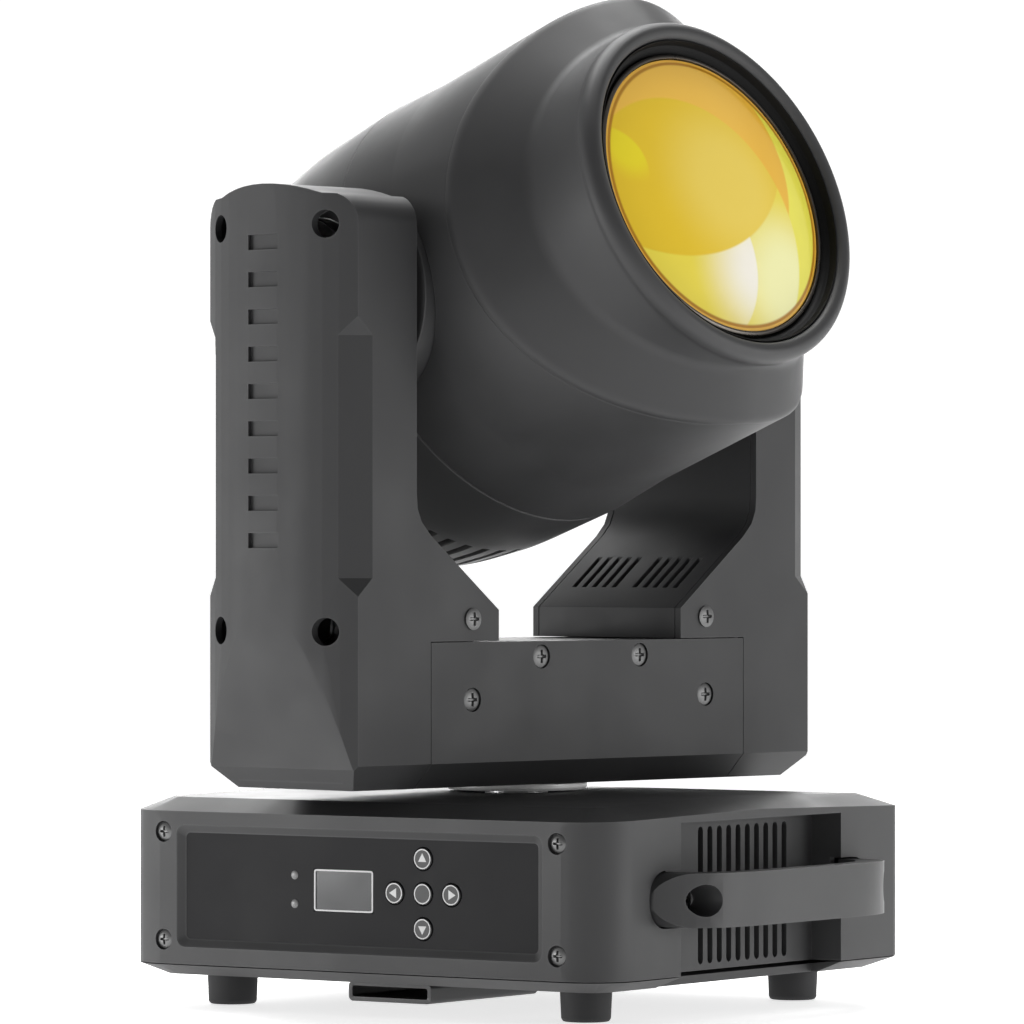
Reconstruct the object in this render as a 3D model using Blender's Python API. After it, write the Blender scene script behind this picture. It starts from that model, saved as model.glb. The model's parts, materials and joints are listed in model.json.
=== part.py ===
"""Moving head light: base, pan yoke and tilting head, drawn in millimetres and built in metres.

The frame sits at the middle of the flat underside of the base, on the pan axis. +Z is up and
the control panel faces -Y. Yoke pieces are drawn square to the yoke and turned by PAN_REST.
Head pieces are drawn with the lens axis along -Y and turned by TILT_REST about the tilt axis.
"""
import math

import bpy
from mathutils import Matrix

MM = 0.001
GAP = 0.3

# base
BASE_W = 185.0
BASE_FRONT = -86.2
BASE_BACK = 83.4
BASE_FRONT_R = 16.2
BASE_BACK_R = 6.0
WALL_LOW = 3.8
WALL_TOP = 51.7
TOP_INSET = 10.7
TOP_RISE = 3.8
RIDGE_RISE = 1.6
BOTTOM_INSET = 9.1
SHELL = 2.5
PAN_HOLE_R = 19.0
FOOT_X = 67.6
FOOT_FRONT = -59.9
FOOT_BACK = 57.1
FOOT_H = 9.9
FOOT_R = 8.0
# control panel
PANEL_W = 139.2
PANEL_LOW = 9.3
PANEL_TOP = 47.5
PANEL_SINK = 1.8
BUTTON_X = 24.2
BUTTON_Z = 28.5
BUTTON_PITCH = 10.7
BUTTON_R = 3.4
BUTTON_TRAVEL = 0.5
DISPLAY_X = -6.0
DISPLAY_W = 22.8
DISPLAY_H = 13.2
# rear sockets
SOCKET_Z = 27.5
SOCKET_DEPTH = 18.0
SOCKET_FLOOR = 4.0
SUPPLY_CLEAR = 3.4
SUPPLY_LONG = 78.0
SOCKET_WALL = 2.2
SOCKET_FLANGE_W = 26.0
SOCKET_FLANGE_H = 30.8
POWER_SOCKET_R = 12.0
DATA_SOCKET_R = 11.4
SOCKET_INNER_X = 18.0
SOCKET_OUTER_X = 48.0
# screws of the control panel
PANEL_SCREW_X = 74.85
PANEL_SCREW_Z = (11.4, 45.2)
# side recess and handle
RECESS_DEPTH = 11.1
RECESS_FRONT = -45.3
RECESS_BACK = 46.4
VENT_FIRST = -17.5
VENT_PITCH = 5.32
VENT_COUNT = 10
HANDLE_Z = 27.5
HANDLE_H = 16.5
HANDLE_BOW = 19.0
HANDLE_HALF = 62.0
HANDLE_THICK = 6.5
HANDLE_SCREW_Y = 51.0
# yoke
PAN_REST = math.radians(81.0)
YOKE_HALF = 103.0
YOKE_BULGE = 9.0
YOKE_DEPTH = 65.2
YOKE_LOW = 60.0
YOKE_TOP = 245.3
YOKE_WALL = 2.4
ARM_IN = 77.8
FOOT_IN = 41.7
BEAM_TOP = 105.0
SLOPE_LOW = 114.9
SLOPE_TOP = 142.5
PLATE_HALF = 71.4
YOKE_CHAMFER_V = 7.4
YOKE_CHAMFER_Z = 7.8
WAIST_U = 6.2
WAIST_V = 5.6
WAIST_LOW = 124.9
WAIST_TOP = 198.6
WAIST_RUN = 11.0
ARM_SCREW_V = 23.0
ARM_SCREW_LOW = 108.6
ARM_SCREW_TOP = 232.4
ARM_SCREW_R = 4.3
ARM_BAR_COUNT = 9
ARM_BAR_LOW = 134.0
ARM_BAR_PITCH = 11.4
ARM_BAR_H = 4.6
ARM_BAR_HALF = 6.5
BEAM_SCREWS = ((-22.5, 100.2), (22.5, 100.2), (-53.4, 87.2), (53.4, 87.2))
UPRIGHT_IN = 85.6
UPRIGHT_OUT = 88.0
# shafts and bearings
POST_BORE = 7.0
POST_R = 10.0
SHAFT_R = 8.4
SHAFT_HOLE_R = 8.8
# toothed belt drives of the pan and tilt axes
BELT_PITCH = 2.0
BELT_THICK = 1.2
PULLEY_TEETH = 72
PINION_TEETH = 18
TOOTH_LINE = 0.254
PINION_U = -48.0
BELT_Z = 78.0
TILT_MOTOR_Z = 110.0
TILT_BELT_U = -92.6
# head
TILT_Z = 211.7
TILT_REST = math.radians(-20.5)
HEAD_R = 71.2
HEAD_SWELL = 1.3
HEAD_WALL = 2.4
SPLIT = -3.05
CREASE_SIDE = 46.3
CREASE_TOP = 79.6
NECK_SIDE = 67.0
NECK_TOP = 87.5
NECK_R = 57.0
RIM_S = 90.6
RIM_R = 56.9
RIM_FRONT = 95.3
OPEN_R = 50.5
LENS_S = 89.5
LENS_R = 45.3
LENS_DOME = 4.6
HUB_R = 32.4
HUB_FACE = 75.6
HUB_IN = 58.0
GRILLE_R = 29.6
BACK_OPEN_R = 30.0
FAN_S = -79.0
FAN_R = 27.0
FAN_BLADES = 7
ZOOM_S = 30.0
ZOOM_SCREW_P = 36.5
ZOOM_SCREW_R = 3.0


def wheel_radius(teeth):
    """Outer radius of a toothed wheel: its pitch radius less the depth of the belt's pitch line."""
    return teeth * BELT_PITCH / (2 * math.pi) - TOOTH_LINE


def wheel(bore, teeth, middle):
    """Profile of a flanged belt wheel whose belt track lies around the middle station."""
    radius = wheel_radius(teeth)
    flange = radius + 1.5
    return [(bore, middle - 4.0), (flange, middle - 4.0), (flange, middle - 3.1), (radius, middle - 3.1),
            (radius, middle + 3.1), (flange, middle + 3.1), (flange, middle + 4.0), (bore, middle + 4.0)]


def clear_scene():
    """Start from an empty scene."""
    for item in list(bpy.data.objects):
        bpy.data.objects.remove(item, do_unlink=True)


def material(name, colour, rough=0.5, metal=0.0, glass=0.0):
    """One plain Principled material."""
    mat = bpy.data.materials.new(name)
    mat.use_nodes = True
    shader = mat.node_tree.nodes["Principled BSDF"]
    shader.inputs["Base Color"].default_value = (*colour, 1.0)
    shader.inputs["Roughness"].default_value = rough
    shader.inputs["Metallic"].default_value = metal
    shader.inputs["Transmission Weight"].default_value = glass
    return mat


def solid(name, verts, faces, colour=(0.08, 0.08, 0.09), rough=0.5, metal=0.0, smooth=False, glass=0.0):
    """A mesh object from millimetre points."""
    mesh = bpy.data.meshes.new(name)
    mesh.from_pydata([tuple(c * MM for c in v) for v in verts], [], faces)
    mesh.validate()
    if smooth:
        mesh.shade_smooth()
        mesh.set_sharp_from_angle(angle=math.radians(35))
    obj = bpy.data.objects.new(name, mesh)
    bpy.context.scene.collection.objects.link(obj)
    mesh.materials.append(material(name, colour, rough, metal, glass))
    return obj


def prism(name, outline, low, high, axis="Z", **look):
    """A closed outline pushed from low to high along an axis."""
    n = len(outline)
    verts = []
    for level in (low, high):
        for a, b in outline:
            if axis == "Z":
                verts.append((a, b, level))
            elif axis == "Y":
                verts.append((a, level, b))
            else:
                verts.append((level, a, b))
    faces = [tuple(range(n - 1, -1, -1)), tuple(range(n, 2 * n))]
    for i in range(n):
        j = (i + 1) % n
        faces.append((i, j, n + j, n + i))
    obj = solid(name, verts, faces, **look)
    face_out(obj)
    return obj


def face_out(obj):
    """Turn every face of a closed mesh outward."""
    mesh = obj.data
    mesh.update()
    volume = 0.0
    mesh.calc_loop_triangles()
    for tri in mesh.loop_triangles:
        a, b, c = (mesh.vertices[i].co for i in tri.vertices)
        volume += a.dot(b.cross(c))
    if volume < 0:
        mesh.flip_normals()


def box(name, low, high, **look):
    """A block between two corners."""
    outline = [(low[0], low[1]), (high[0], low[1]), (high[0], high[1]), (low[0], high[1])]
    return prism(name, outline, low[2], high[2], "Z", **look)


def circle(radius, centre=(0.0, 0.0), count=32, start=0.0):
    """Points of a circle, anticlockwise."""
    turn = 2 * math.pi / count
    return [(centre[0] + radius * math.cos(start + turn * i),
             centre[1] + radius * math.sin(start + turn * i)) for i in range(count)]


def rounded(low, high, radius, count=5):
    """A rectangle with rounded corners, anticlockwise."""
    points = []
    spots = [(high[0] - radius, high[1] - radius, 0), (low[0] + radius, high[1] - radius, 90),
             (low[0] + radius, low[1] + radius, 180), (high[0] - radius, low[1] + radius, 270)]
    for x, y, first in spots:
        for i in range(count + 1):
            turn = math.radians(first + 90 * i / count)
            points.append((x + radius * math.cos(turn), y + radius * math.sin(turn)))
    return points


def lathe(name, profile, count=64, centre=(0.0, 0.0), axis="Z", **look):
    """A closed profile of (radius, along) points turned about an axis."""
    verts = []
    rings = []
    for radius, along in profile:
        if radius < 1e-6:
            rings.append([len(verts)] * count)
            verts.append((centre[0], centre[1], along))
            continue
        rings.append(list(range(len(verts), len(verts) + count)))
        for i in range(count):
            turn = 2 * math.pi * i / count
            verts.append((centre[0] + radius * math.cos(turn), centre[1] + radius * math.sin(turn), along))
    faces = []
    for k in range(len(rings)):
        one, two = rings[k], rings[(k + 1) % len(rings)]
        if one[0] == one[1] and two[0] == two[1]:
            continue
        for i in range(count):
            j = (i + 1) % count
            corner = [one[i], one[j], two[j], two[i]]
            face = [c for n, c in enumerate(corner) if c not in corner[:n]]
            faces.append(tuple(face))
    if axis == "Y":
        verts = [(x, -z, y) for x, y, z in verts]
    elif axis == "X":
        verts = [(z, x, y) for x, y, z in verts]
    obj = solid(name, verts, faces, smooth=True, **look)
    face_out(obj)
    return obj


def combine(obj, other, kind="DIFFERENCE"):
    """Cut, join or keep the overlap with another closed mesh, then drop the other."""
    mod = obj.modifiers.new("solid", "BOOLEAN")
    mod.operation = kind
    mod.solver = "EXACT"
    mod.object = other
    graph = bpy.context.evaluated_depsgraph_get()
    graph.update()
    made = bpy.data.meshes.new_from_object(obj.evaluated_get(graph), depsgraph=graph)
    obj.modifiers.clear()
    old = obj.data
    look = old.materials[0]
    name = old.name
    obj.data = made
    bpy.data.meshes.remove(old)
    made.name = name
    made.materials.clear()
    made.materials.append(look)
    for poly in made.polygons:
        poly.material_index = 0
    bpy.data.objects.remove(other, do_unlink=True)
    return obj


def cut_boxes(obj, boxes):
    """Cut several separate blocks at once."""
    verts = []
    faces = []
    for low, high in boxes:
        n = len(verts)
        verts += [(low[0], low[1], low[2]), (high[0], low[1], low[2]), (high[0], high[1], low[2]),
                  (low[0], high[1], low[2]), (low[0], low[1], high[2]), (high[0], low[1], high[2]),
                  (high[0], high[1], high[2]), (low[0], high[1], high[2])]
        faces += [(n + 3, n + 2, n + 1, n), (n + 4, n + 5, n + 6, n + 7), (n, n + 1, n + 5, n + 4),
                  (n + 1, n + 2, n + 6, n + 5), (n + 2, n + 3, n + 7, n + 6), (n + 3, n, n + 4, n + 7)]
    return combine(obj, solid("cutter", verts, faces))


def cut_rod(obj, radius, centre, low, high, axis="Z", count=24):
    """Cut one round hole."""
    return combine(obj, prism("cutter", circle(radius, centre, count), low, high, axis))


def hang(obj, parent):
    """Hang a piece on an axis empty, keeping its drawn coordinates local."""
    obj.parent = parent
    return obj


# ---------------------------------------------------------------- base

def plan(inset):
    """Base outline moved inward, anticlockwise from the left ridge point."""
    half = BASE_W / 2
    points = [(-half + inset, 0.0)]
    for sx, sy, radius, first in ((-1, -1, BASE_FRONT_R, 180), (1, -1, BASE_FRONT_R, 270),
                                  (1, 1, BASE_BACK_R, 0), (-1, 1, BASE_BACK_R, 90)):
        inner = max(radius - inset, 0.8)
        edge = BASE_FRONT if sy < 0 else BASE_BACK
        cx = sx * (half - inset - inner)
        cy = edge - sy * (inset + inner)
        if sx > 0 and sy > 0:
            points.append((half - inset, 0.0))
        for i in range(7):
            turn = math.radians(first + 15 * i)
            points.append((cx + inner * math.cos(turn), cy + inner * math.sin(turn)))
    return points


def roof(y):
    """Height of the shallow ridge across the top of the base."""
    edge = BASE_FRONT if y < 0 else BASE_BACK
    return RIDGE_RISE * (1 - abs(y / edge))


def base_shell():
    """The moulded housing: walls, chamfered shoulder and ridged top, open underneath."""
    levels = [(0.0, WALL_LOW, False), (0.0, WALL_TOP, True), (TOP_INSET, WALL_TOP + TOP_RISE, True)]
    inner = [(SHELL, WALL_LOW, False), (SHELL, WALL_TOP - 1.4, True),
             (TOP_INSET + 1.0, WALL_TOP + TOP_RISE - SHELL, True)]
    verts = []
    rings = []
    for group in (levels, inner):
        for inset, z, ridged in group:
            outline = plan(inset)
            rings.append(range(len(verts), len(verts) + len(outline)))
            verts += [(x, y, z + (roof(y) if ridged else 0.0)) for x, y in outline]
    n = len(rings[0])
    faces = []
    for one, two, flip in ((0, 1, 0), (1, 2, 0), (3, 4, 1), (4, 5, 1), (0, 3, 1)):
        for i in range(n):
            j = (i + 1) % n
            quad = (rings[one][i], rings[one][j], rings[two][j], rings[two][i])
            faces.append(quad[::-1] if flip else quad)
    middle = 15
    for ring, flip in ((rings[2], 0), (rings[5], 1)):
        front = [ring[i] for i in range(0, middle + 1)]
        back = [ring[i] for i in range(middle, n)] + [ring[0]]
        for cap in (front, back):
            faces.append(tuple(cap[::-1]) if flip else tuple(cap))
    obj = solid("base_housing", verts, faces, (0.07, 0.07, 0.075), 0.5)
    face_out(obj)
    return obj


def build_base():
    """Housing, floor, feet, clamp channel and the parts inside the base."""
    shell = base_shell()
    half = BASE_W / 2
    back = half - RECESS_DEPTH
    for side in (-1, 1):
        low, high = sorted((side * (back - 2.2), side * (half - 1.0)))
        block = box("block", (low, RECESS_FRONT - 2.4, WALL_LOW),
                    (high, RECESS_BACK + 2.4, WALL_TOP + 0.4))
        combine(shell, block, "UNION")
        low, high = sorted((side * back, side * (half + 5)))
        cut = box("cutter", (low, RECESS_FRONT, -5), (high, RECESS_BACK, WALL_TOP - 1.2))
        combine(shell, cut)
        slots = []
        for i in range(VENT_COUNT):
            y = VENT_FIRST + VENT_PITCH * i
            low, high = sorted((side * (back - 4), side * (back + 2)))
            slots.append(prism("cutter", rounded((y - 1.45, 5.6), (y + 1.45, 48.2), 1.4, 2), low, high, "X"))
        for slot in slots:
            combine(shell, slot)
        low, high = sorted((side * (half - 4), side * (half + 2)))
        size = HANDLE_H / 2 + 0.6
        pocket = rounded((-HANDLE_HALF - 0.5, HANDLE_Z - size), (HANDLE_HALF + 0.5, HANDLE_Z + size),
                         size - 0.25, 8)
        combine(shell, prism("cutter", pocket, low, high, "X"))
    cut_rod(shell, PAN_HOLE_R, (0, 0), 40, 70, "Z", 48)
    face = rounded((-PANEL_W / 2, PANEL_LOW), (PANEL_W / 2, PANEL_TOP), 3.0)
    combine(shell, prism("cutter", face, BASE_FRONT - 2, BASE_FRONT + 6, "Y"))
    for x in (-PANEL_SCREW_X, PANEL_SCREW_X):
        for z in PANEL_SCREW_Z:
            cut_rod(shell, 3.3, (x, z), BASE_FRONT - 1, BASE_FRONT + 1.5, "Y")
            cut_rod(shell, 1.6, (x, z), BASE_FRONT - 1, BASE_FRONT + 6, "Y", 16)
    rear = rounded((-66, 9.0), (66, 46.0), 2.0)
    combine(shell, prism("cutter", rear, BASE_BACK - 6, BASE_BACK + 2, "Y"))

    verts = []
    rings = []
    tray = ((BOTTOM_INSET, 0.0), (0.0, WALL_LOW - GAP), (SHELL + 0.5, WALL_LOW - GAP),
            (BOTTOM_INSET + 2, 2.6))
    for inset, z in tray:
        outline = plan(inset)
        rings.append(range(len(verts), len(verts) + len(outline)))
        verts += [(x, y, z) for x, y in outline]
    n = len(rings[0])
    faces = [tuple(reversed(rings[0])), tuple(rings[3])]
    for k in range(3):
        for i in range(n):
            j = (i + 1) % n
            faces.append((rings[k][i], rings[k][j], rings[k + 1][j], rings[k + 1][i]))
    floor = solid("base_floor", verts, faces, (0.07, 0.07, 0.075), 0.55)
    face_out(floor)
    cut_boxes(floor, [((back, RECESS_FRONT, -5), (half + 5, RECESS_BACK, 10)),
                      ((-half - 5, RECESS_FRONT, -5), (-back, RECESS_BACK, 10))])

    feet = (("foot_front_left", -FOOT_X, FOOT_FRONT), ("foot_front_right", FOOT_X, FOOT_FRONT),
            ("foot_back_left", -FOOT_X, FOOT_BACK), ("foot_back_right", FOOT_X, FOOT_BACK))
    for name, x, y in feet:
        profile = [(0, -FOOT_H), (FOOT_R - 1.1, -FOOT_H), (FOOT_R - 0.5, -FOOT_H + 0.6),
                   (FOOT_R, -GAP), (0, -GAP)]
        lathe(name, profile, 28, (x, y), colour=(0.02, 0.02, 0.02), rough=0.8)

    outer = rounded((-15.75, -6.5), (15.75, -GAP), 1.6)
    channel = prism("clamp_channel", outer, -68.5, -11.0, "Y", colour=(0.03, 0.03, 0.03), rough=0.4,
                    metal=0.5)
    inner = rounded((-14.35, -5.1), (14.35, -GAP - 1.4), 0.8)
    combine(channel, prism("cutter", inner, -70, -9.0, "Y"))

    for side, name in ((-1, "handle_left"), (1, "handle_right")):
        build_handle(name, side)
    build_panel()
    build_rear()

    supply_back = BASE_BACK - SOCKET_DEPTH - SOCKET_FLOOR - SUPPLY_CLEAR
    box("power_supply", (-62, supply_back - SUPPLY_LONG, 2.9), (-22, supply_back, 34),
        colour=(0.5, 0.5, 0.48), rough=0.4, metal=0.8)
    box("control_board", (-66, -77.0, 8.5), (66, -75.4, 46.0), colour=(0.02, 0.12, 0.04), rough=0.5)
    post = [(POST_BORE, 2.9), (15.0, 2.9), (15.0, 6.0), (POST_R, 6.0), (POST_R, 84.0), (POST_BORE, 84.0)]
    lathe("pan_post", post, 32, colour=(0.4, 0.4, 0.4), rough=0.35, metal=1.0)
    lathe("pan_pulley", wheel(POST_R + GAP, PULLEY_TEETH, BELT_Z), 32, colour=(0.6, 0.6, 0.6), rough=0.4,
          metal=1.0)


def handle_out(y):
    """Distance of the handle's outer face from the wall at one point along it."""
    return HANDLE_BOW * (1 - abs(y / HANDLE_HALF) ** 6)


def build_handle(name, side):
    """A bowed strap whose two ends sink into pockets in the wall."""
    half = BASE_W / 2
    steps = [HANDLE_HALF * math.sin(math.radians(a)) for a in range(-90, 91, 6)]
    outer = [(half - 2.0 + 2.0 * (abs(y) < HANDLE_HALF - 0.01) + handle_out(y), y) for y in steps]
    reach = HANDLE_HALF - 14
    inner = [(half - 2.0, reach), (half + 1.0, reach)]
    span = reach - 2.0
    for i in range(17):
        y = span * math.cos(math.radians(180 * i / 16))
        depth = handle_out(y * HANDLE_HALF / (span + 8)) - HANDLE_THICK
        inner.append((half + max(depth, 1.5), y))
    inner += [(half + 1.0, -reach), (half - 2.0, -reach)]
    outline = [(side * x, y) for x, y in outer + inner]
    low = HANDLE_Z - HANDLE_H / 2
    strap = prism(name, outline, low, low + HANDLE_H, "Z", colour=(0.05, 0.05, 0.05), rough=0.45)
    first, last = sorted((side * (half - 5.0), side * (half + 40)))
    ends = rounded((-HANDLE_HALF, low), (HANDLE_HALF, low + HANDLE_H), HANDLE_H / 2 - 0.25, 8)
    combine(strap, prism("cutter", ends, first, last, "X"), "INTERSECT")
    for end in (-1, 1):
        first, last = sorted((side * (half + 4.0), side * (half + 30)))
        cut_rod(strap, 4.9, (end * HANDLE_SCREW_Y, HANDLE_Z), first, last, "X")
    return strap


def build_panel():
    """Control panel with its display window and five keys on slides."""
    deep = BASE_FRONT + PANEL_SINK
    face = rounded((-PANEL_W / 2 + GAP, PANEL_LOW + GAP), (PANEL_W / 2 - GAP, PANEL_TOP - GAP), 2.7)
    panel = prism("control_panel", face, deep, deep + 2.0, "Y", colour=(0.02, 0.02, 0.022), rough=0.35)
    half_w = DISPLAY_W / 2
    half_h = DISPLAY_H / 2
    low_z = BUTTON_Z - half_h
    high_z = low_z + DISPLAY_H
    cut_boxes(panel, [((DISPLAY_X - half_w, deep - 1, low_z), (DISPLAY_X + half_w, deep + 4, high_z))])
    spots = (("key_enter", 0, 0), ("key_up", 0, 1), ("key_down", 0, -1), ("key_left", -1, 0),
             ("key_right", 1, 0))
    for name, across, up in spots:
        spot = (BUTTON_X + BUTTON_PITCH * across, BUTTON_Z + BUTTON_PITCH * up)
        cut_rod(panel, BUTTON_R + GAP, spot, deep - 1, deep + 4, "Y", 20)
        axis = bpy.data.objects.new(name + "_slide", None)
        bpy.context.scene.collection.objects.link(axis)
        axis.location = (spot[0] * MM, deep * MM, spot[1] * MM)
        profile = [(0, 0.5), (BUTTON_R - 0.3, 0.5), (BUTTON_R, 0.2), (BUTTON_R, -2.6), (BUTTON_R + 0.9, -2.6),
                   (BUTTON_R + 0.9, -3.4), (1.2, -3.4), (1.2, -6.4), (0, -6.4)]
        key = lathe(name, profile, 16, axis="Y", colour=(0.03, 0.03, 0.03), rough=0.4)
        hang(key, axis)
    window = box("display_window", (DISPLAY_X - half_w + GAP, deep + 0.3, low_z + GAP),
                 (DISPLAY_X + half_w - GAP, deep + 1.7, high_z - GAP), colour=(0.01, 0.01, 0.012), rough=0.1)
    return window


def build_rear():
    """Connector plate at the back with power and data sockets."""
    y = BASE_BACK
    face = rounded((-66 + GAP, 9.0 + GAP), (66 - GAP, 46.0 - GAP), 1.7)
    plate = prism("rear_plate", face, y - 2.4, y - 0.4, "Y", colour=(0.05, 0.05, 0.05), rough=0.45, metal=0.6)
    sockets = (("power_in", -SOCKET_OUTER_X, POWER_SOCKET_R, (0.02, 0.08, 0.3)),
               ("power_out", -SOCKET_INNER_X, POWER_SOCKET_R, (0.5, 0.5, 0.5)),
               ("data_in", SOCKET_INNER_X, DATA_SOCKET_R, (0.05, 0.05, 0.05)),
               ("data_out", SOCKET_OUTER_X, DATA_SOCKET_R, (0.05, 0.05, 0.05)))
    half_w = SOCKET_FLANGE_W / 2
    half_h = SOCKET_FLANGE_H / 2
    for name, x, radius, tint in sockets:
        cut_rod(plate, radius + GAP, (x, SOCKET_Z), y - 5, y + 3, "Y", 20)
        flange = rounded((x - half_w, SOCKET_Z - half_h), (x + half_w, SOCKET_Z + half_h), 2.0)
        socket = prism(name, flange, y - 0.1, y + 1.7, "Y", colour=tint, rough=0.4)
        barrel = prism("barrel", circle(radius, (x, SOCKET_Z), 20), y - SOCKET_DEPTH - SOCKET_FLOOR, y + 0.5, "Y")
        combine(socket, barrel, "UNION")
        cut_rod(socket, radius - SOCKET_WALL, (x, SOCKET_Z), y - SOCKET_DEPTH, y + 3, "Y", 20)


# ---------------------------------------------------------------- yoke

def arm_plan(side, offset, inside):
    """Plan of one arm: straight inside, bowed outside, moved inward by offset."""
    half_v = YOKE_DEPTH / 2
    radius = (half_v ** 2 + YOKE_BULGE ** 2) / (2 * YOKE_BULGE)
    centre = YOKE_HALF + YOKE_BULGE - radius
    reach = half_v - offset
    first = math.asin(reach / (radius - offset))
    points = [(inside, -reach)]
    for i in range(13):
        turn = -first + 2 * first * i / 12
        points.append((centre + (radius - offset) * math.cos(turn), (radius - offset) * math.sin(turn)))
    points.append((inside, reach))
    return [(side * u, v) for u, v in points]


def arm_side(offset):
    """Side profile of an arm: arched top, chamfered bottom edges."""
    half_v = YOKE_DEPTH / 2 - offset
    top = YOKE_TOP - offset
    crown = 72.0
    points = [(-half_v + YOKE_CHAMFER_V, YOKE_LOW + offset), (half_v - YOKE_CHAMFER_V, YOKE_LOW + offset),
              (half_v, YOKE_LOW + offset + YOKE_CHAMFER_Z)]
    corner = 9.0
    centre_v = half_v - corner
    drop = crown - math.sqrt(crown ** 2 - centre_v ** 2)
    centre_z = top - drop - corner * math.sqrt(1 - (centre_v / crown) ** 2) + 0.3
    arch = []
    for i in range(6):
        turn = math.radians(i * 14)
        arch.append((centre_v + corner * math.cos(turn), centre_z + corner * math.sin(turn)))
    for i in range(5):
        v = centre_v * (1 - i / 5) * 0.93
        arch.append((v, top - crown + math.sqrt(crown ** 2 - v ** 2)))
    points += arch
    points += [(0.0, top)]
    points += [(-v, z) for v, z in reversed(arch)]
    points += [(-half_v, YOKE_LOW + offset + YOKE_CHAMFER_Z)]
    return points


def arm_front(side, offset):
    """Front profile of an arm cover: inner edge steps out over the beam."""
    bend = [(ARM_IN - 6.2, SLOPE_TOP - 4.7), (ARM_IN - 2.2, SLOPE_TOP - 0.6), (ARM_IN - 0.4, SLOPE_TOP + 3.4),
            (ARM_IN, SLOPE_TOP + 8.0)]
    points = [(PLATE_HALF + GAP, YOKE_LOW - 5), (PLATE_HALF + GAP, BEAM_TOP + GAP), (FOOT_IN, BEAM_TOP + GAP),
              (FOOT_IN, SLOPE_LOW)] + bend
    points += [(ARM_IN, YOKE_TOP + 5), (130, YOKE_TOP + 5), (130, YOKE_LOW + 9), (YOKE_HALF + 2, YOKE_LOW + 8),
               (YOKE_HALF - 6, YOKE_LOW - 1), (YOKE_HALF - 6, YOKE_LOW - 5)]
    return [(side * u, z) for u, z in points]


def arm_cover(name, side, pan):
    """Outer cover of one arm, hollow and open toward the head."""
    cover = prism(name, arm_plan(side, 0.0, FOOT_IN - 2), YOKE_LOW, YOKE_TOP + 2, "Z",
                  colour=(0.07, 0.07, 0.075), rough=0.5)
    combine(cover, prism("side", arm_side(0.0), -150, 150, "X"), "INTERSECT")
    combine(cover, prism("front", arm_front(side, 0.0), -60, 60, "Y"), "INTERSECT")
    facet = [(YOKE_HALF + YOKE_BULGE, SLOPE_LOW + 0.5), (140, SLOPE_LOW + 0.5), (140, YOKE_LOW - 10),
             (YOKE_HALF - 2.0, YOKE_LOW - 10)]
    facet = [(side * u, z) for u, z in facet]
    combine(cover, prism("cutter", facet, -60, 60, "Y"))
    for end in (-1, 1):
        combine(cover, waist_cutter(side, end))
    inner = prism("cutter", arm_plan(side, YOKE_WALL, 20.0), YOKE_LOW + YOKE_WALL, YOKE_TOP, "Z")
    combine(inner, prism("side", arm_side(YOKE_WALL), -150, 150, "X"), "INTERSECT")
    lean = [(10, YOKE_LOW), (YOKE_HALF - 3.5, YOKE_LOW), (YOKE_HALF + YOKE_BULGE - YOKE_WALL, SLOPE_LOW + 6),
            (130, SLOPE_LOW + 6), (130, YOKE_TOP + 5), (10, YOKE_TOP + 5)]
    combine(inner, prism("lean", [(side * u, z) for u, z in lean], -60, 60, "Y"), "INTERSECT")
    for end in (-1, 1):
        combine(inner, waist_cutter(side, end, YOKE_WALL))
    combine(cover, inner)
    for v in (-ARM_SCREW_V, ARM_SCREW_V):
        for z in (ARM_SCREW_LOW, ARM_SCREW_TOP):
            low, high = sorted((side * (YOKE_HALF - 8), side * (YOKE_HALF + 20)))
            cut_rod(cover, ARM_SCREW_R, (v, z), low, high, "X")
    bars = []
    for i in range(ARM_BAR_COUNT):
        z = ARM_BAR_LOW + i * ARM_BAR_PITCH
        low, high = sorted((side * (YOKE_HALF + YOKE_BULGE - 1.6), side * (YOKE_HALF + 20)))
        bars.append(((low, -ARM_BAR_HALF, z), (high, ARM_BAR_HALF, z + ARM_BAR_H)))
    cut_boxes(cover, bars)
    return hang(cover, pan)


def waist_cutter(side, end, offset=0.0):
    """Wedge that trims a vertical corner of the arm, running out at both ends."""
    half_v = YOKE_DEPTH / 2 - offset
    slope = WAIST_V / (WAIST_U + 2.9)
    verts = []
    levels = ((WAIST_LOW - WAIST_RUN, 12.0), (WAIST_LOW, 0.0), (WAIST_TOP, 0.0),
              (WAIST_TOP + WAIST_RUN, 12.0))
    for z, out in levels:
        u = YOKE_HALF - WAIST_U + out - offset * 0.6
        outline = [(u - 20, half_v + 20 * slope), (u + 40, half_v - 40 * slope), (u + 40, half_v + 40)]
        verts += [(side * a, end * b, z) for a, b in outline]
    faces = [(0, 1, 2), (9, 11, 10)]
    for k in range(3):
        for i in range(3):
            j = (i + 1) % 3
            faces.append((3 * k + i, 3 * k + 3 + i, 3 * k + 3 + j, 3 * k + j))
    cutter = solid("cutter", verts, faces)
    face_out(cutter)
    return cutter


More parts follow.
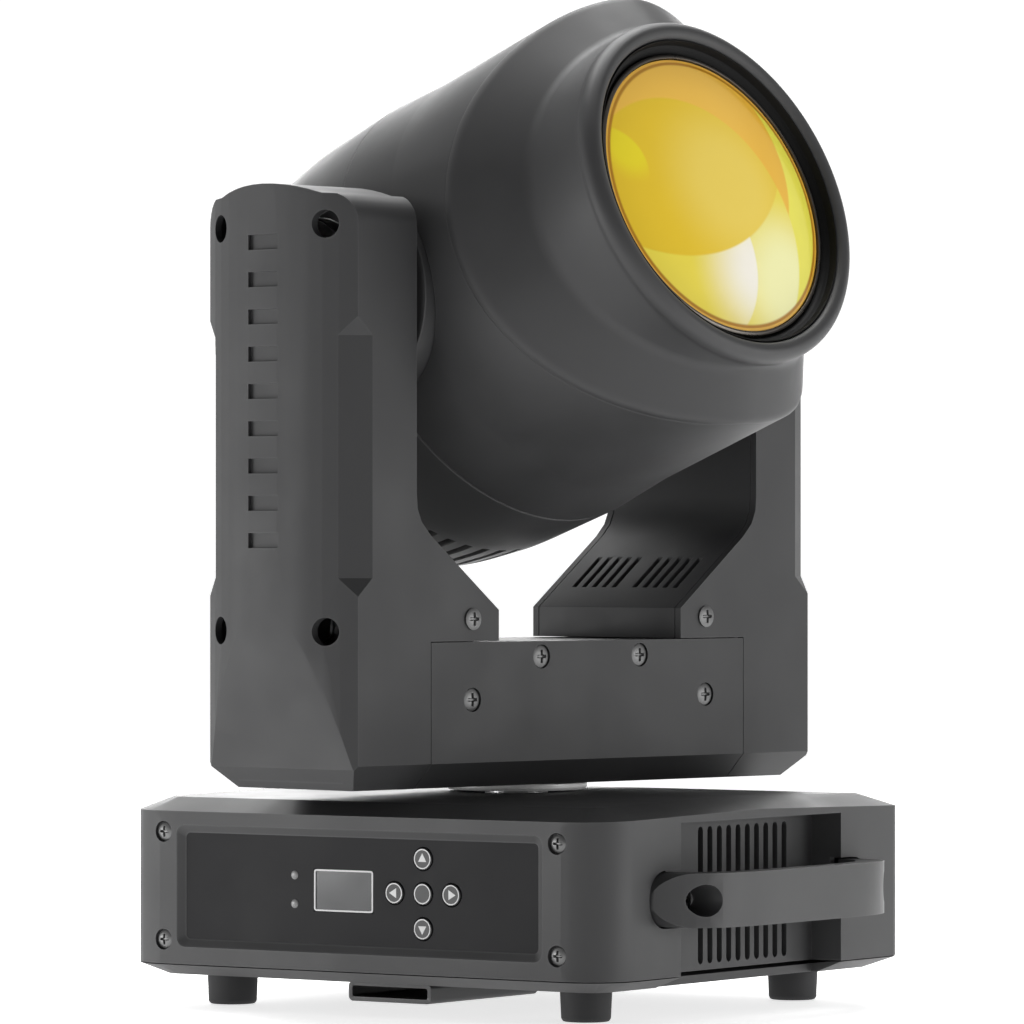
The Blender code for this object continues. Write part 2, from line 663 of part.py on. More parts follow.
def arm_inner(name, side, pan):
    """Inner panel of one arm: upright, slope with vent slots, and foot wall."""
    thick = 2.0
    line = [(FOOT_IN, BEAM_TOP + GAP), (FOOT_IN, SLOPE_LOW), (ARM_IN - 6.2, SLOPE_TOP - 4.7),
            (ARM_IN - 2.2, SLOPE_TOP - 0.6), (ARM_IN - 0.4, SLOPE_TOP + 3.4), (ARM_IN, SLOPE_TOP + 8.0),
            (ARM_IN, YOKE_TOP - 13)]
    back = [(ARM_IN + thick, YOKE_TOP - 13), (ARM_IN + thick, SLOPE_TOP + 8.0),
            (ARM_IN + thick - 0.5, SLOPE_TOP + 3.0), (ARM_IN - 0.9, SLOPE_TOP - 1.9),
            (FOOT_IN + thick, SLOPE_LOW - 1.0), (FOOT_IN + thick, BEAM_TOP + GAP)]
    outline = [(side * u, z) for u, z in line + back]
    half_v = YOKE_DEPTH / 2 - YOKE_WALL - GAP
    panel = prism(name, outline, -half_v, half_v, "Y", colour=(0.07, 0.07, 0.075), rough=0.5)
    cut_rod(panel, 11.0, (0, TILT_Z), *sorted((side * (ARM_IN - 5), side * (ARM_IN + 8))), "X", 40)
    slots = []
    for i in range(10):
        v = (4.6 + 4.4 * (i % 5)) * (1 if i < 5 else -1)
        low, high = sorted((side * (FOOT_IN + 8.5), side * (FOOT_IN + 21.0)))
        slots.append(((low, v - 0.9, BEAM_TOP), (high, v + 0.9, SLOPE_TOP + 2)))
    cut_boxes(panel, slots)
    return hang(panel, pan)


def build_yoke():
    """Yoke on the pan axis: chassis, covers, plates, motors and belts."""
    pan = bpy.data.objects.new("pan_axis", None)
    bpy.context.scene.collection.objects.link(pan)
    pan.rotation_euler = (0.0, 0.0, PAN_REST)

    collar = [(10.6, 57.5), (21.6, 57.5), (22.4, 58.2), (22.4, 59.7), (10.6, 59.7)]
    hang(lathe("pan_collar", collar, 40, colour=(0.55, 0.55, 0.55), rough=0.4), pan)
    arm_cover("arm_cover_left", -1, pan)
    arm_cover("arm_cover_right", 1, pan)
    arm_inner("arm_inner_left", -1, pan)
    arm_inner("arm_inner_right", 1, pan)

    half_v = YOKE_DEPTH / 2
    for name, end in (("beam_front_plate", -1), ("beam_rear_plate", 1)):
        section = [(end * half_v, YOKE_LOW + YOKE_CHAMFER_Z), (end * half_v, BEAM_TOP),
                   (end * (half_v - 2), BEAM_TOP), (end * (half_v - 2), YOKE_LOW + YOKE_CHAMFER_Z + 0.9),
                   (end * (half_v - YOKE_CHAMFER_V), YOKE_LOW + 2.9),
                   (end * (half_v - YOKE_CHAMFER_V), YOKE_LOW)]
        plate = prism(name, section, -PLATE_HALF, PLATE_HALF, "X", colour=(0.075, 0.075, 0.08), rough=0.45)
        for u, z in BEAM_SCREWS:
            first, last = sorted((end * (half_v - 1.0), end * (half_v + 3)))
            cut_rod(plate, 3.8, (u, z), first, last, "Y")
            first, last = sorted((end * (half_v - 6.0), end * (half_v + 3)))
            cut_rod(plate, 1.7, (u, z), first, last, "Y", 16)
        hang(plate, pan)
    top_v = half_v - 2 - GAP
    top = box("beam_top_cover", (-FOOT_IN + GAP, -top_v, BEAM_TOP - 2), (FOOT_IN - GAP, top_v, BEAM_TOP),
              colour=(0.07, 0.07, 0.075), rough=0.5)
    hang(top, pan)

    floor_v = half_v - YOKE_CHAMFER_V - GAP
    chassis = box("yoke_chassis", (-PLATE_HALF, -floor_v, YOKE_LOW), (PLATE_HALF, floor_v, YOKE_LOW + 2.6),
                  colour=(0.35, 0.35, 0.36), rough=0.4, metal=1.0)
    for side in (-1, 1):
        low, high = sorted((side * (PLATE_HALF - 2), side * UPRIGHT_OUT))
        lift = YOKE_LOW + YOKE_WALL + GAP
        combine(chassis, box("step", (low, -20, lift - 0.1), (high, 20, lift + 2.4)), "UNION")
        low, high = sorted((side * UPRIGHT_IN, side * UPRIGHT_OUT))
        upright = box("upright_left" if side < 0 else "upright_right", (low, -20, lift + 2.4 + GAP),
                      (high, 20, YOKE_TOP - 15), colour=(0.35, 0.35, 0.36), rough=0.4, metal=1.0)
        cut_rod(upright, SHAFT_HOLE_R, (0, TILT_Z), low - 3, high + 3, "X", 40)
        hang(upright, pan)
    cut_rod(chassis, 16.3, (0, 0), YOKE_LOW - 2, YOKE_LOW + 5, "Z", 48)
    hang(chassis, pan)
    bore = POST_R + GAP
    bearing = [(bore, YOKE_LOW), (16.0, YOKE_LOW), (16.0, 71.0), (bore, 71.0)]
    hang(lathe("pan_bearing", bearing, 32, colour=(0.6, 0.6, 0.6), rough=0.3, metal=1.0), pan)

    motor = (0.05, 0.05, 0.055)
    look = {"colour": motor, "rough": 0.5, "metal": 0.4}
    hang(box("pan_motor", (-65.5, -17.5, 83.0), (-30.5, 17.5, 102.4), **look), pan)
    hang(box("tilt_motor", (-84.9, -17.5, 92.5), (-65.5, 17.5, 127.5), **look), pan)

    pinion = bpy.data.objects.new("pan_pinion_axis", None)
    bpy.context.scene.collection.objects.link(pinion)
    pinion.parent = pan
    pinion.location = (PINION_U * MM, 0.0, BELT_Z * MM)
    profile = wheel(0, PINION_TEETH, 0.0)[:-1] + [(2.4, 4.0), (2.4, 4.7), (0, 4.7)]
    hang(lathe("pan_pinion", profile, 20, colour=(0.6, 0.6, 0.6), rough=0.4, metal=1.0), pinion)
    belt("pan_belt", (0.0, 0.0), (PINION_U, 0.0), BELT_Z, "Z", pan)

    pinion = bpy.data.objects.new("tilt_pinion_axis", None)
    bpy.context.scene.collection.objects.link(pinion)
    pinion.parent = pan
    pinion.location = (TILT_BELT_U * MM, 0.0, TILT_MOTOR_Z * MM)
    profile = wheel(0, PINION_TEETH, 0.0)
    hang(lathe("tilt_pinion", profile, 20, axis="X", colour=(0.6, 0.6, 0.6), rough=0.4, metal=1.0), pinion)
    belt("tilt_belt", (0.0, TILT_Z), (0.0, TILT_MOTOR_Z), TILT_BELT_U, "X", pan)
    return pan


def belt(name, one, two, middle, axis, parent):
    """A closed belt round a pulley at the first centre and a pinion at the second."""
    r_one = wheel_radius(PULLEY_TEETH) + GAP
    r_two = wheel_radius(PINION_TEETH) + GAP
    low = middle - 2.8
    high = middle + 2.8
    gap = math.dist(one, two)
    aim = math.atan2(two[1] - one[1], two[0] - one[0])
    lean = math.acos((r_one - r_two) / gap)
    loops = []
    for grow in (BELT_THICK, 0.0):
        points = []
        for i in range(25):
            turn = aim + lean + (2 * math.pi - 2 * lean) * i / 24
            reach = r_one + grow
            points.append((one[0] + reach * math.cos(turn), one[1] + reach * math.sin(turn)))
        for i in range(13):
            turn = aim - lean + 2 * lean * i / 12
            reach = r_two + grow
            points.append((two[0] + reach * math.cos(turn), two[1] + reach * math.sin(turn)))
        loops.append(points)
    n = len(loops[0])
    verts = []
    for level in (low, high):
        for loop in loops:
            for a, b in loop:
                verts.append((a, b, level) if axis == "Z" else (level, a, b))
    faces = []
    for i in range(n):
        j = (i + 1) % n
        faces += [(i, j, n + j, n + i), (2 * n + j, 2 * n + i, 3 * n + i, 3 * n + j),
                  (j, i, 2 * n + i, 2 * n + j), (n + i, n + j, 3 * n + j, 3 * n + i)]
    loop = solid(name, verts, faces, (0.01, 0.01, 0.01), 0.8)
    face_out(loop)
    return hang(loop, parent)


# ---------------------------------------------------------------- head

def swell(turn):
    """How far a direction round the head is from the flanks, 0 at the sides and 1 at top and bottom."""
    across = math.cos(turn)
    power = 1.3 if across < 0 else 2.0
    return 1 - abs(across) ** power


def crease(turn):
    """Where the shroud's sloping face meets the barrel of the head."""
    return CREASE_SIDE + (CREASE_TOP - CREASE_SIDE) * swell(turn)


def neck(turn):
    """Where the sloping face meets the short neck behind the rim."""
    return NECK_SIDE + (NECK_TOP - NECK_SIDE) * swell(turn)


def skin(name, rows, count, **look):
    """Closed skin whose rows give (radius, along) for each direction round the lens axis."""
    verts = []
    for row in rows:
        for i in range(count):
            turn = 2 * math.pi * i / count
            radius, along = row(turn)
            verts.append((radius * math.cos(turn), -along, radius * math.sin(turn)))
    faces = []
    for k in range(len(rows)):
        nxt = (k + 1) % len(rows)
        for i in range(count):
            j = (i + 1) % count
            faces.append((k * count + i, k * count + j, nxt * count + j, nxt * count + i))
    obj = solid(name, verts, faces, smooth=True, **look)
    face_out(obj)
    return obj


def even(radius, along):
    """A row of constant radius and station."""
    return lambda turn: (radius, along)


def build_head(pan):
    """Head on the tilt axis."""
    tilt = bpy.data.objects.new("tilt_axis", None)
    bpy.context.scene.collection.objects.link(tilt)
    tilt.parent = pan
    tilt.location = (0.0, 0.0, TILT_Z * MM)
    tilt.rotation_euler = (TILT_REST, 0.0, 0.0)
    grey = (0.07, 0.07, 0.075)

    rows = [lambda t: (HEAD_R, crease(t) + GAP), lambda t: (NECK_R, neck(t)), even(NECK_R - 0.6, RIM_S - 1.8),
            even(RIM_R, RIM_S), even(RIM_R - 0.3, RIM_S + 2.2), even(RIM_R - 1.6, RIM_FRONT - 0.9),
            even(RIM_R - 3.4, RIM_FRONT), even(OPEN_R + 0.9, RIM_FRONT - 0.7), even(OPEN_R, RIM_FRONT - 2.2),
            even(OPEN_R, 84.0), even(OPEN_R + 2.6, 84.0), even(OPEN_R + 2.9, 88.0),
            lambda t: (NECK_R - HEAD_WALL - 0.9, neck(t) - 0.6),
            lambda t: (HEAD_R - HEAD_WALL, crease(t) + GAP)]
    shroud = skin("front_shroud", rows, 48, colour=grey, rough=0.5)
    rows = [even(HEAD_R + HEAD_SWELL, SPLIT), lambda t: (HEAD_R, min(20.0, crease(t))), lambda t: (HEAD_R, crease(t)),
            lambda t: (HEAD_R - HEAD_WALL, crease(t)), even(HEAD_R + HEAD_SWELL - HEAD_WALL, SPLIT)]
    barrel = skin("head_barrel", rows, 48, colour=grey, rough=0.5)
    widest = HEAD_R + HEAD_SWELL
    corner = widest - 16.0 - BACK_OPEN_R
    outer = [(widest, SPLIT - GAP), (widest - 1.1, -35.0), (widest - 3.9, -54.0), (widest - 6.8, -65.0),
             (widest - 10.1, -74.0), (widest - 16.0, -82.0), (BACK_OPEN_R + corner * 18.0 / 26.5, -87.5),
             (BACK_OPEN_R + corner * 10.0 / 26.5, -89.5), (BACK_OPEN_R, -90.2)]
    corner = widest - 18.1 - BACK_OPEN_R
    inner = [(widest - HEAD_WALL, SPLIT - GAP), (widest - 6.6, -54.0), (widest - 12.5, -73.0),
             (widest - 18.1, -80.0), (BACK_OPEN_R + corner * 16.4 / 24.4, -85.2), (BACK_OPEN_R, -87.6)]
    rows = [even(r, s) for r, s in outer] + [even(r, s) for r, s in reversed(inner)]
    back = skin("head_back", rows, 48, colour=grey, rough=0.5)
    grille = [(0, -90.0), (GRILLE_R, -90.0), (GRILLE_R, -87.8), (0, -87.8)]
    plug = lathe("back_grille", grille, 32, axis="Y", colour=(0.04, 0.04, 0.042), rough=0.6)
    cut_slots(plug)
    hang(plug, tilt)
    for piece in (barrel, back):
        cut_rod(piece, HUB_R + GAP, (0, 0), -90, 90, "X", 40)
    cut_vents(back)
    for piece in (shroud, barrel, back):
        hang(piece, tilt)

    rings = (("lens_baffle", [(50.2, 83.9), (50.2, 91.0), (47.2, 88.9), (47.2, 83.9)], (0.005, 0.005, 0.005)),
             ("lens_ring", [(46.9, 83.9), (46.9, 89.9), (46.2, 90.3), (45.6, 90.3), (45.6, 83.9)],
              (0.2, 0.2, 0.2)))
    for name, profile, tint in rings:
        hang(lathe(name, profile, 40, axis="Y", colour=tint, rough=0.4), tilt)
    dome = [(0, 83.9), (LENS_R, 83.9)]
    for i in range(6):
        radius = LENS_R * (1 - i / 6)
        dome.append((radius, LENS_S + LENS_DOME * (1 - (radius / LENS_R) ** 2)))
    dome.append((0, LENS_S + LENS_DOME))
    hang(lathe("lens", dome, 40, axis="Y", colour=(0.9, 0.6, 0.05), rough=0.02, glass=0.8), tilt)

    for name, side in (("tilt_hub_left", -1), ("tilt_hub_right", 1)):
        reach = 97.5 if side < 0 else 92.0
        profile = [(0, HUB_IN), (HUB_R, HUB_IN), (HUB_R, 73.6), (HUB_R - 1.2, 74.0), (HUB_R - 4.0, 74.0),
                   (HUB_R - 4.0, HUB_FACE), (SHAFT_R, HUB_FACE), (SHAFT_R, reach), (0, reach)]
        profile = [(r, side * s) for r, s in profile]
        hang(lathe(name, profile, 32, axis="X", colour=grey, rough=0.5), tilt)
    profile = wheel(SHAFT_R + GAP, PULLEY_TEETH, TILT_BELT_U)
    hang(lathe("tilt_pulley", profile, 32, axis="X", colour=(0.6, 0.6, 0.6), rough=0.4, metal=1.0), tilt)
    build_optics(tilt)
    return tilt


def cut_vents(back):
    """Two rows of slots round the rear corner of the head, clear of the hubs."""
    verts = []
    faces = []
    for i in range(20):
        turn = math.radians(18 * i + 9)
        if abs(math.cos(turn)) > 0.80:
            continue
        for low, high in ((46.0, 60.0), (59.0, 75.0)):
            start = len(verts)
            for s in ((-92.0, -84.6) if low < 50 else (-81.0, -66.0)):
                for r, w in ((low, -1.4), (high, -1.4), (high, 1.4), (low, 1.4)):
                    x = r * math.cos(turn) - w * math.sin(turn)
                    z = r * math.sin(turn) + w * math.cos(turn)
                    verts.append((x, -s, z))
            n = start
            faces += [(n, n + 1, n + 2, n + 3), (n + 7, n + 6, n + 5, n + 4), (n, n + 4, n + 5, n + 1),
                      (n + 1, n + 5, n + 6, n + 2), (n + 2, n + 6, n + 7, n + 3), (n + 3, n + 7, n + 4, n)]
    cutter = solid("cutter", verts, faces)
    face_out(cutter)
    combine(back, cutter)


def cut_slots(plug):
    """Parallel slots through the rear grille."""
    boxes = []
    for i in range(-3, 4):
        reach = math.sqrt(25.0 ** 2 - (i * 7.0) ** 2)
        boxes.append(((-reach, 80.0, i * 7.0 - 1.5), (reach, 95.0, i * 7.0 + 1.5)))
    cut_boxes(plug, boxes)


def build_optics(tilt):
    """Light engine, heat sink, fan and the zoom carriage inside the head."""
    sink = prism("heat_sink", circle(40.0, (0, 0), 48), 48.0, 52.0, "Y", colour=(0.5, 0.5, 0.5), rough=0.4,
                 metal=1.0)
    fins = []
    for i in range(-6, 7):
        reach = math.sqrt(38.0 ** 2 - (i * 5.6) ** 2)
        fins.append((i * 5.6, reach))
    for u, reach in fins:
        combine(sink, box("fin", (u - 0.9, 51.0, -reach), (u + 0.9, 72.0, reach)), "UNION")
    hang(sink, tilt)
    hang(box("led_board", (-21, 45.9, -21), (21, 47.7, 21), colour=(0.7, 0.7, 0.68), rough=0.5), tilt)
    rod = [(0, -45.6), (5.0, -45.6), (6.5, -16.0), (0, -16.0)]
    hang(lathe("mixing_rod", rod, 24, axis="Y", colour=(0.9, 0.9, 0.9), rough=0.05, glass=0.9), tilt)

    fan = bpy.data.objects.new("fan_axis", None)
    bpy.context.scene.collection.objects.link(fan)
    fan.parent = tilt
    fan.location = (0.0, -FAN_S * MM, 0.0)
    hub = lathe("fan_rotor", [(0, -3.5), (11.0, -3.5), (11.0, 3.5), (0, 3.5)], 24, axis="Y",
                colour=(0.03, 0.03, 0.03), rough=0.5)
    for i in range(FAN_BLADES):
        blade = box("blade", (9.0, -0.6, -4.5), (FAN_R, 0.6, 4.5))
        blade.data.transform(Matrix.Rotation(math.radians(32), 4, "X"))
        blade.data.transform(Matrix.Rotation(2 * math.pi * i / FAN_BLADES, 4, "Y"))
        combine(hub, blade, "UNION")
    hang(hub, fan)

    carriage = bpy.data.objects.new("zoom_slide", None)
    bpy.context.scene.collection.objects.link(carriage)
    carriage.parent = tilt
    carriage.location = (0.0, -ZOOM_S * MM, 0.0)
    plate = prism("zoom_carriage", circle(44.0, (0, 0), 40), -1.5, 1.5, "Y", colour=(0.1, 0.1, 0.1),
                  rough=0.5)
    cut_rod(plate, 29.0, (0, 0), -5, 5, "Y", 32)
    cut_rod(plate, ZOOM_SCREW_R + GAP, (0, ZOOM_SCREW_P), -5, 5, "Y", 24)
    hang(plate, carriage)
    glass = [(0, -4.0), (28.6, -1.4), (28.6, 1.4), (20.0, 5.2), (10.0, 7.2), (0, 7.8)]
    hang(lathe("zoom_lens", glass, 32, axis="Y", colour=(0.9, 0.9, 0.9), rough=0.02, glass=0.9), carriage)
    screw = bpy.data.objects.new("zoom_screw_axis", None)
    bpy.context.scene.collection.objects.link(screw)
    screw.parent = tilt
    screw.location = (0.0, 0.0, ZOOM_SCREW_P * MM)
    rod = [(0, -15.0), (ZOOM_SCREW_R, -15.0), (ZOOM_SCREW_R, 62.0), (0, 62.0)]
    thread = lathe("zoom_screw", rod, 16, axis="Y", colour=(0.6, 0.6, 0.6), rough=0.3, metal=1.0)
    hang(thread, screw)


clear_scene()
build_base()
pan_axis = build_yoke()
build_head(pan_axis)
for item in bpy.data.objects:
    if item.parent is None:
        item.location.z += FOOT_H * MM
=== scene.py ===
import json
import math

import bmesh
import bpy
import numpy as np
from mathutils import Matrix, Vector


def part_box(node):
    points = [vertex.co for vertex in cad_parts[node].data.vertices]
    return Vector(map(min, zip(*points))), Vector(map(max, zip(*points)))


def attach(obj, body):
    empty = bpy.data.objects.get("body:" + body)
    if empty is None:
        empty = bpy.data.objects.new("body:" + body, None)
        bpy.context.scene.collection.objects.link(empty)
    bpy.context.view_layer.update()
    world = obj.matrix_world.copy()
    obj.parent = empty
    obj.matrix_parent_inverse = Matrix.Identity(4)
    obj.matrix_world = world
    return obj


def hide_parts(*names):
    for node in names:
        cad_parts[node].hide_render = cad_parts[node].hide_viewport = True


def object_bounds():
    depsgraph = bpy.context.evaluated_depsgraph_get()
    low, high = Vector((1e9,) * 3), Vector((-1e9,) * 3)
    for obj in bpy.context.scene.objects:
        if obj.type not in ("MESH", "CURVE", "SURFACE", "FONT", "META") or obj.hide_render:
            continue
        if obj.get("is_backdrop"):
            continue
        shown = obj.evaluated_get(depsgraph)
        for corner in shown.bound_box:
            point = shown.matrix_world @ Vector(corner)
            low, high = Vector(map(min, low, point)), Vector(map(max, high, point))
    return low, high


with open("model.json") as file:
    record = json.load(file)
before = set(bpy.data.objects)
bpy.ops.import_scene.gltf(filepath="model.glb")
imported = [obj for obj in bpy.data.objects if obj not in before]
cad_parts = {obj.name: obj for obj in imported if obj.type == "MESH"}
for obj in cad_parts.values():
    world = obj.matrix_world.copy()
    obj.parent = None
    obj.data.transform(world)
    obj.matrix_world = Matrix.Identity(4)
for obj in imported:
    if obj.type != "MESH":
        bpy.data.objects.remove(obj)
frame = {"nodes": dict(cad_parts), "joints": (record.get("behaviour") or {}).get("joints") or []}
cad_low, cad_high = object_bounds()
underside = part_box("base_floor")[0][2] * 1000    # height of the base's flat bottom, in millimetres

# ---------------------------------------------------------------- studio
# A small product stage: a pale seamless floor, a white surround, and soft panels of light
# above, behind and beside the lamp. The camera stands level, in front and to the right.
scene = bpy.context.scene
scene.view_settings.view_transform = "Standard"


def node_of(tree, kind, **values):
    """Adds a shader node and sets its sockets by name."""
    made = tree.nodes.new(kind)
    for name, value in values.items():
        made.inputs[name.replace("_", " ")].default_value = value
    return made


camera_data = bpy.data.cameras.new("camera")
camera_data.sensor_width = 36.0
camera_data.lens = 225.1
camera_data.shift_y = 0.0349
camera_data.clip_start = 0.05
camera_data.clip_end = 60.0
camera = bpy.data.objects.new("camera", camera_data)
camera.location = (1.1648, -1.6691, 0.144)
camera.rotation_euler = (math.radians(90.0), 0.0, math.radians(34.95))
scene.collection.objects.link(camera)
scene.camera = camera

world = bpy.data.worlds.new("surround")
world.use_nodes = True
sky = world.node_tree
direction = sky.nodes.new("ShaderNodeTexCoord")
parts = sky.nodes.new("ShaderNodeSeparateXYZ")
fade = node_of(sky, "ShaderNodeMapRange", From_Min=0.16, From_Max=0.42, To_Min=1.1, To_Max=0.35)
sky.links.new(direction.outputs["Generated"], parts.inputs["Vector"])
sky.links.new(parts.outputs["Z"], fade.inputs["Value"])
sky.nodes["Background"].inputs["Color"].default_value = (1.0, 1.0, 1.0, 1.0)
# the surround is brightest near the horizon, and dimmer in front of the lamp than behind it
facing = sky.nodes.new("ShaderNodeVectorMath")
facing.operation = "DOT_PRODUCT"
facing.inputs[1].default_value = (0.573, -0.82, 0.0)
sky.links.new(direction.outputs["Generated"], facing.inputs[0])
dim = node_of(sky, "ShaderNodeMapRange", From_Min=0.0, From_Max=0.85, To_Min=1.0, To_Max=0.3)
sky.links.new(facing.outputs["Value"], dim.inputs["Value"])
both = sky.nodes.new("ShaderNodeMath")
both.operation = "MULTIPLY"
sky.links.new(fade.outputs["Result"], both.inputs[0])
sky.links.new(dim.outputs["Result"], both.inputs[1])
sky.links.new(both.outputs["Value"], sky.nodes["Background"].inputs["Strength"])
scene.world = world


def panel_light(name, spot, aim, size, power):
    """A rectangular soft light at one point, turned to face another."""
    data = bpy.data.lights.new(name, "AREA")
    data.shape = "RECTANGLE"
    data.size, data.size_y = size
    data.energy = power
    lamp = bpy.data.objects.new(name, data)
    lamp.location = spot
    lamp.rotation_euler = (Vector(aim) - Vector(spot)).to_track_quat("-Z", "Y").to_euler()
    scene.collection.objects.link(lamp)


panel_light("overhead", (-0.3, 0.35, 1.3), (0.0, 0.0, 0.2), (0.9, 0.9), 20.0)
panel_light("right_side", (1.4, 0.5, 0.16), (0.05, 0.0, 0.04), (0.6, 0.3), 4.0)
panel_light("behind", (-0.95, 1.15, 0.55), (0.0, 0.0, 0.2), (1.3, 0.7), 18.0)
panel_light("low_left", (-1.0, -0.9, 0.06), (-0.1, 0.0, 0.1), (0.6, 0.12), 4.5)

floor_low = cad_low[2] - 0.0002
floor_mesh = bpy.data.meshes.new("floor")
floor_half = 30.0
corners = [(x * floor_half, y * floor_half, floor_low) for x, y in ((-1, -1), (1, -1), (1, 1), (-1, 1))]
floor_mesh.from_pydata(corners, [], [(0, 1, 2, 3)])
floor = bpy.data.objects.new("floor", floor_mesh)
scene.collection.objects.link(floor)
floor_look = bpy.data.materials.new("pale_floor")
floor_look.use_nodes = True
floor_shader = floor_look.node_tree.nodes["Principled BSDF"]
for socket, value in (("Base Color", (0.9, 0.9, 0.9, 1.0)), ("Roughness", 0.9), ("Specular IOR Level", 0.1),
                      ("Emission Color", (1.0, 1.0, 1.0, 1.0)), ("Emission Strength", 0.7)):
    floor_shader.inputs[socket].default_value = value
floor_mesh.materials.append(floor_look)
floor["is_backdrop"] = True

# ---------------------------------------------------------------- finishes of the housing
# The outside is injection-moulded flame-retardant plastic with a fine spark-eroded texture.
# It is matt dark grey, slightly uneven in gloss, and paler along worn edges.


SWIRL = 0.05    # how far the roughness of a finish drifts either way


def textured(name, colour, rough, metal=0.0, grain=2600.0, depth=0.00003, wear=0.0, vary=0.1, coat=0.0):
    """A finish whose colour and roughness drift with broad noise, whose surface carries fine grain,
    and whose edges, found by comparing the true normal with a rounded one, are paler."""
    look = bpy.data.materials.new(name)
    look.use_nodes = True
    tree = look.node_tree
    shader = tree.nodes["Principled BSDF"]
    shader.inputs["Metallic"].default_value = metal
    shader.inputs["Coat Weight"].default_value = coat
    place = tree.nodes.new("ShaderNodeTexCoord")
    broad = node_of(tree, "ShaderNodeTexNoise", Scale=38.0, Detail=4.0, Roughness=0.6)
    fine = node_of(tree, "ShaderNodeTexNoise", Scale=grain, Detail=2.0, Roughness=0.5)
    for noise in (broad, fine):
        tree.links.new(place.outputs["Object"], noise.inputs["Vector"])
    tint = tree.nodes.new("ShaderNodeValToRGB")
    tint.color_ramp.elements[0].position = 0.3
    tint.color_ramp.elements[1].position = 0.7
    tint.color_ramp.elements[0].color = (*[c * (1 - vary) for c in colour], 1.0)
    tint.color_ramp.elements[1].color = (*[min(c * (1 + vary), 1.0) for c in colour], 1.0)
    tree.links.new(broad.outputs["Fac"], tint.inputs["Fac"])
    paint = tint.outputs["Color"]
    if wear > 0:
        shape = tree.nodes.new("ShaderNodeNewGeometry")
        round_off = tree.nodes.new("ShaderNodeBevel")
        round_off.samples = 4
        round_off.inputs["Radius"].default_value = 0.0007
        dot = tree.nodes.new("ShaderNodeVectorMath")
        dot.operation = "DOT_PRODUCT"
        tree.links.new(shape.outputs["Normal"], dot.inputs[0])
        tree.links.new(round_off.outputs["Normal"], dot.inputs[1])
        edge = node_of(tree, "ShaderNodeMapRange", From_Min=0.995, From_Max=0.9, To_Min=0.0, To_Max=wear)
        tree.links.new(dot.outputs["Value"], edge.inputs["Value"])
        mix = tree.nodes.new("ShaderNodeMix")
        mix.data_type = "RGBA"
        tree.links.new(edge.outputs["Result"], mix.inputs["Factor"])
        tree.links.new(paint, mix.inputs["A"])
        mix.inputs["B"].default_value = (*[min(c * 2.2 + 0.03, 1.0) for c in colour], 1.0)
        paint = mix.outputs["Result"]
    tree.links.new(paint, shader.inputs["Base Color"])
    gloss = node_of(tree, "ShaderNodeMapRange", From_Min=0.3, From_Max=0.7, To_Min=rough - SWIRL,
                    To_Max=rough + SWIRL)
    tree.links.new(broad.outputs["Fac"], gloss.inputs["Value"])
    tree.links.new(gloss.outputs["Result"], shader.inputs["Roughness"])
    relief = node_of(tree, "ShaderNodeBump", Strength=0.5, Distance=depth)
    tree.links.new(fine.outputs["Fac"], relief.inputs["Height"])
    tree.links.new(relief.outputs["Normal"], shader.inputs["Normal"])
    return look


shell_look = textured("housing_plastic", (0.033, 0.033, 0.034), 0.54, wear=0.3)
yoke_look = textured("yoke_plastic", (0.022, 0.022, 0.023), 0.6, wear=0.3)
trim_look = textured("trim_plastic", (0.03, 0.03, 0.031), 0.46, wear=0.25)


def rounded_copy(node, body, look, width, angle=28.0):
    """A CAD piece with its loose triangles merged, and each edge sharper than the given angle
    rounded off by the given width in metres."""
    mesh = frame["nodes"][node].data.copy()
    mesh.name = node + "_finish"
    work = bmesh.new()
    work.from_mesh(mesh)
    bmesh.ops.remove_doubles(work, verts=work.verts, dist=0.000005)
    work.to_mesh(mesh)
    work.free()
    mesh.materials.clear()
    mesh.materials.append(look)
    mesh.shade_smooth()
    piece = bpy.data.objects.new(mesh.name, mesh)
    scene.collection.objects.link(piece)
    soft = piece.modifiers.new("edges", "BEVEL")
    soft.width = width
    soft.segments = 2
    soft.limit_method = "ANGLE"
    soft.angle_limit = math.radians(angle)
    soft.use_clamp_overlap = True
    even = piece.modifiers.new("shading", "WEIGHTED_NORMAL")
    even.mode = "FACE_AREA"
    even.weight = 60
    even.keep_sharp = True
    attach(piece, body)
    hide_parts(node)


# ---------------------------------------------------------------- base
# A moulded housing with a chamfered shoulder closes over a floor tray. Both are plastic,
# screwed together from below; the side walls step in behind the carrying handles.
rounded_copy("base_housing", "base", shell_look, 0.0007)
rounded_copy("base_floor", "base", shell_look, 0.0005)
rounded_copy("handle_left", "base", trim_look, 0.0014, angle=40.0)
rounded_copy("handle_right", "base", trim_look, 0.0014, angle=40.0)

# the panel is a flat sheet under a dark matt film, set into the front wall
panel_look = textured("panel_film", (0.011, 0.011, 0.012), 0.5, grain=1900.0, depth=0.00001)
panel_look.node_tree.nodes["Principled BSDF"].inputs["Specular IOR Level"].default_value = 0.15
rounded_copy("control_panel", "base", panel_look, 0.0002)

# ---------------------------------------------------------------- feet and clamp channel
# Four moulded rubber feet, slightly tapered, are each held by a screw up the middle. Under the
# base a folded steel channel, powder-coated black, takes the clamp that hangs the lamp.


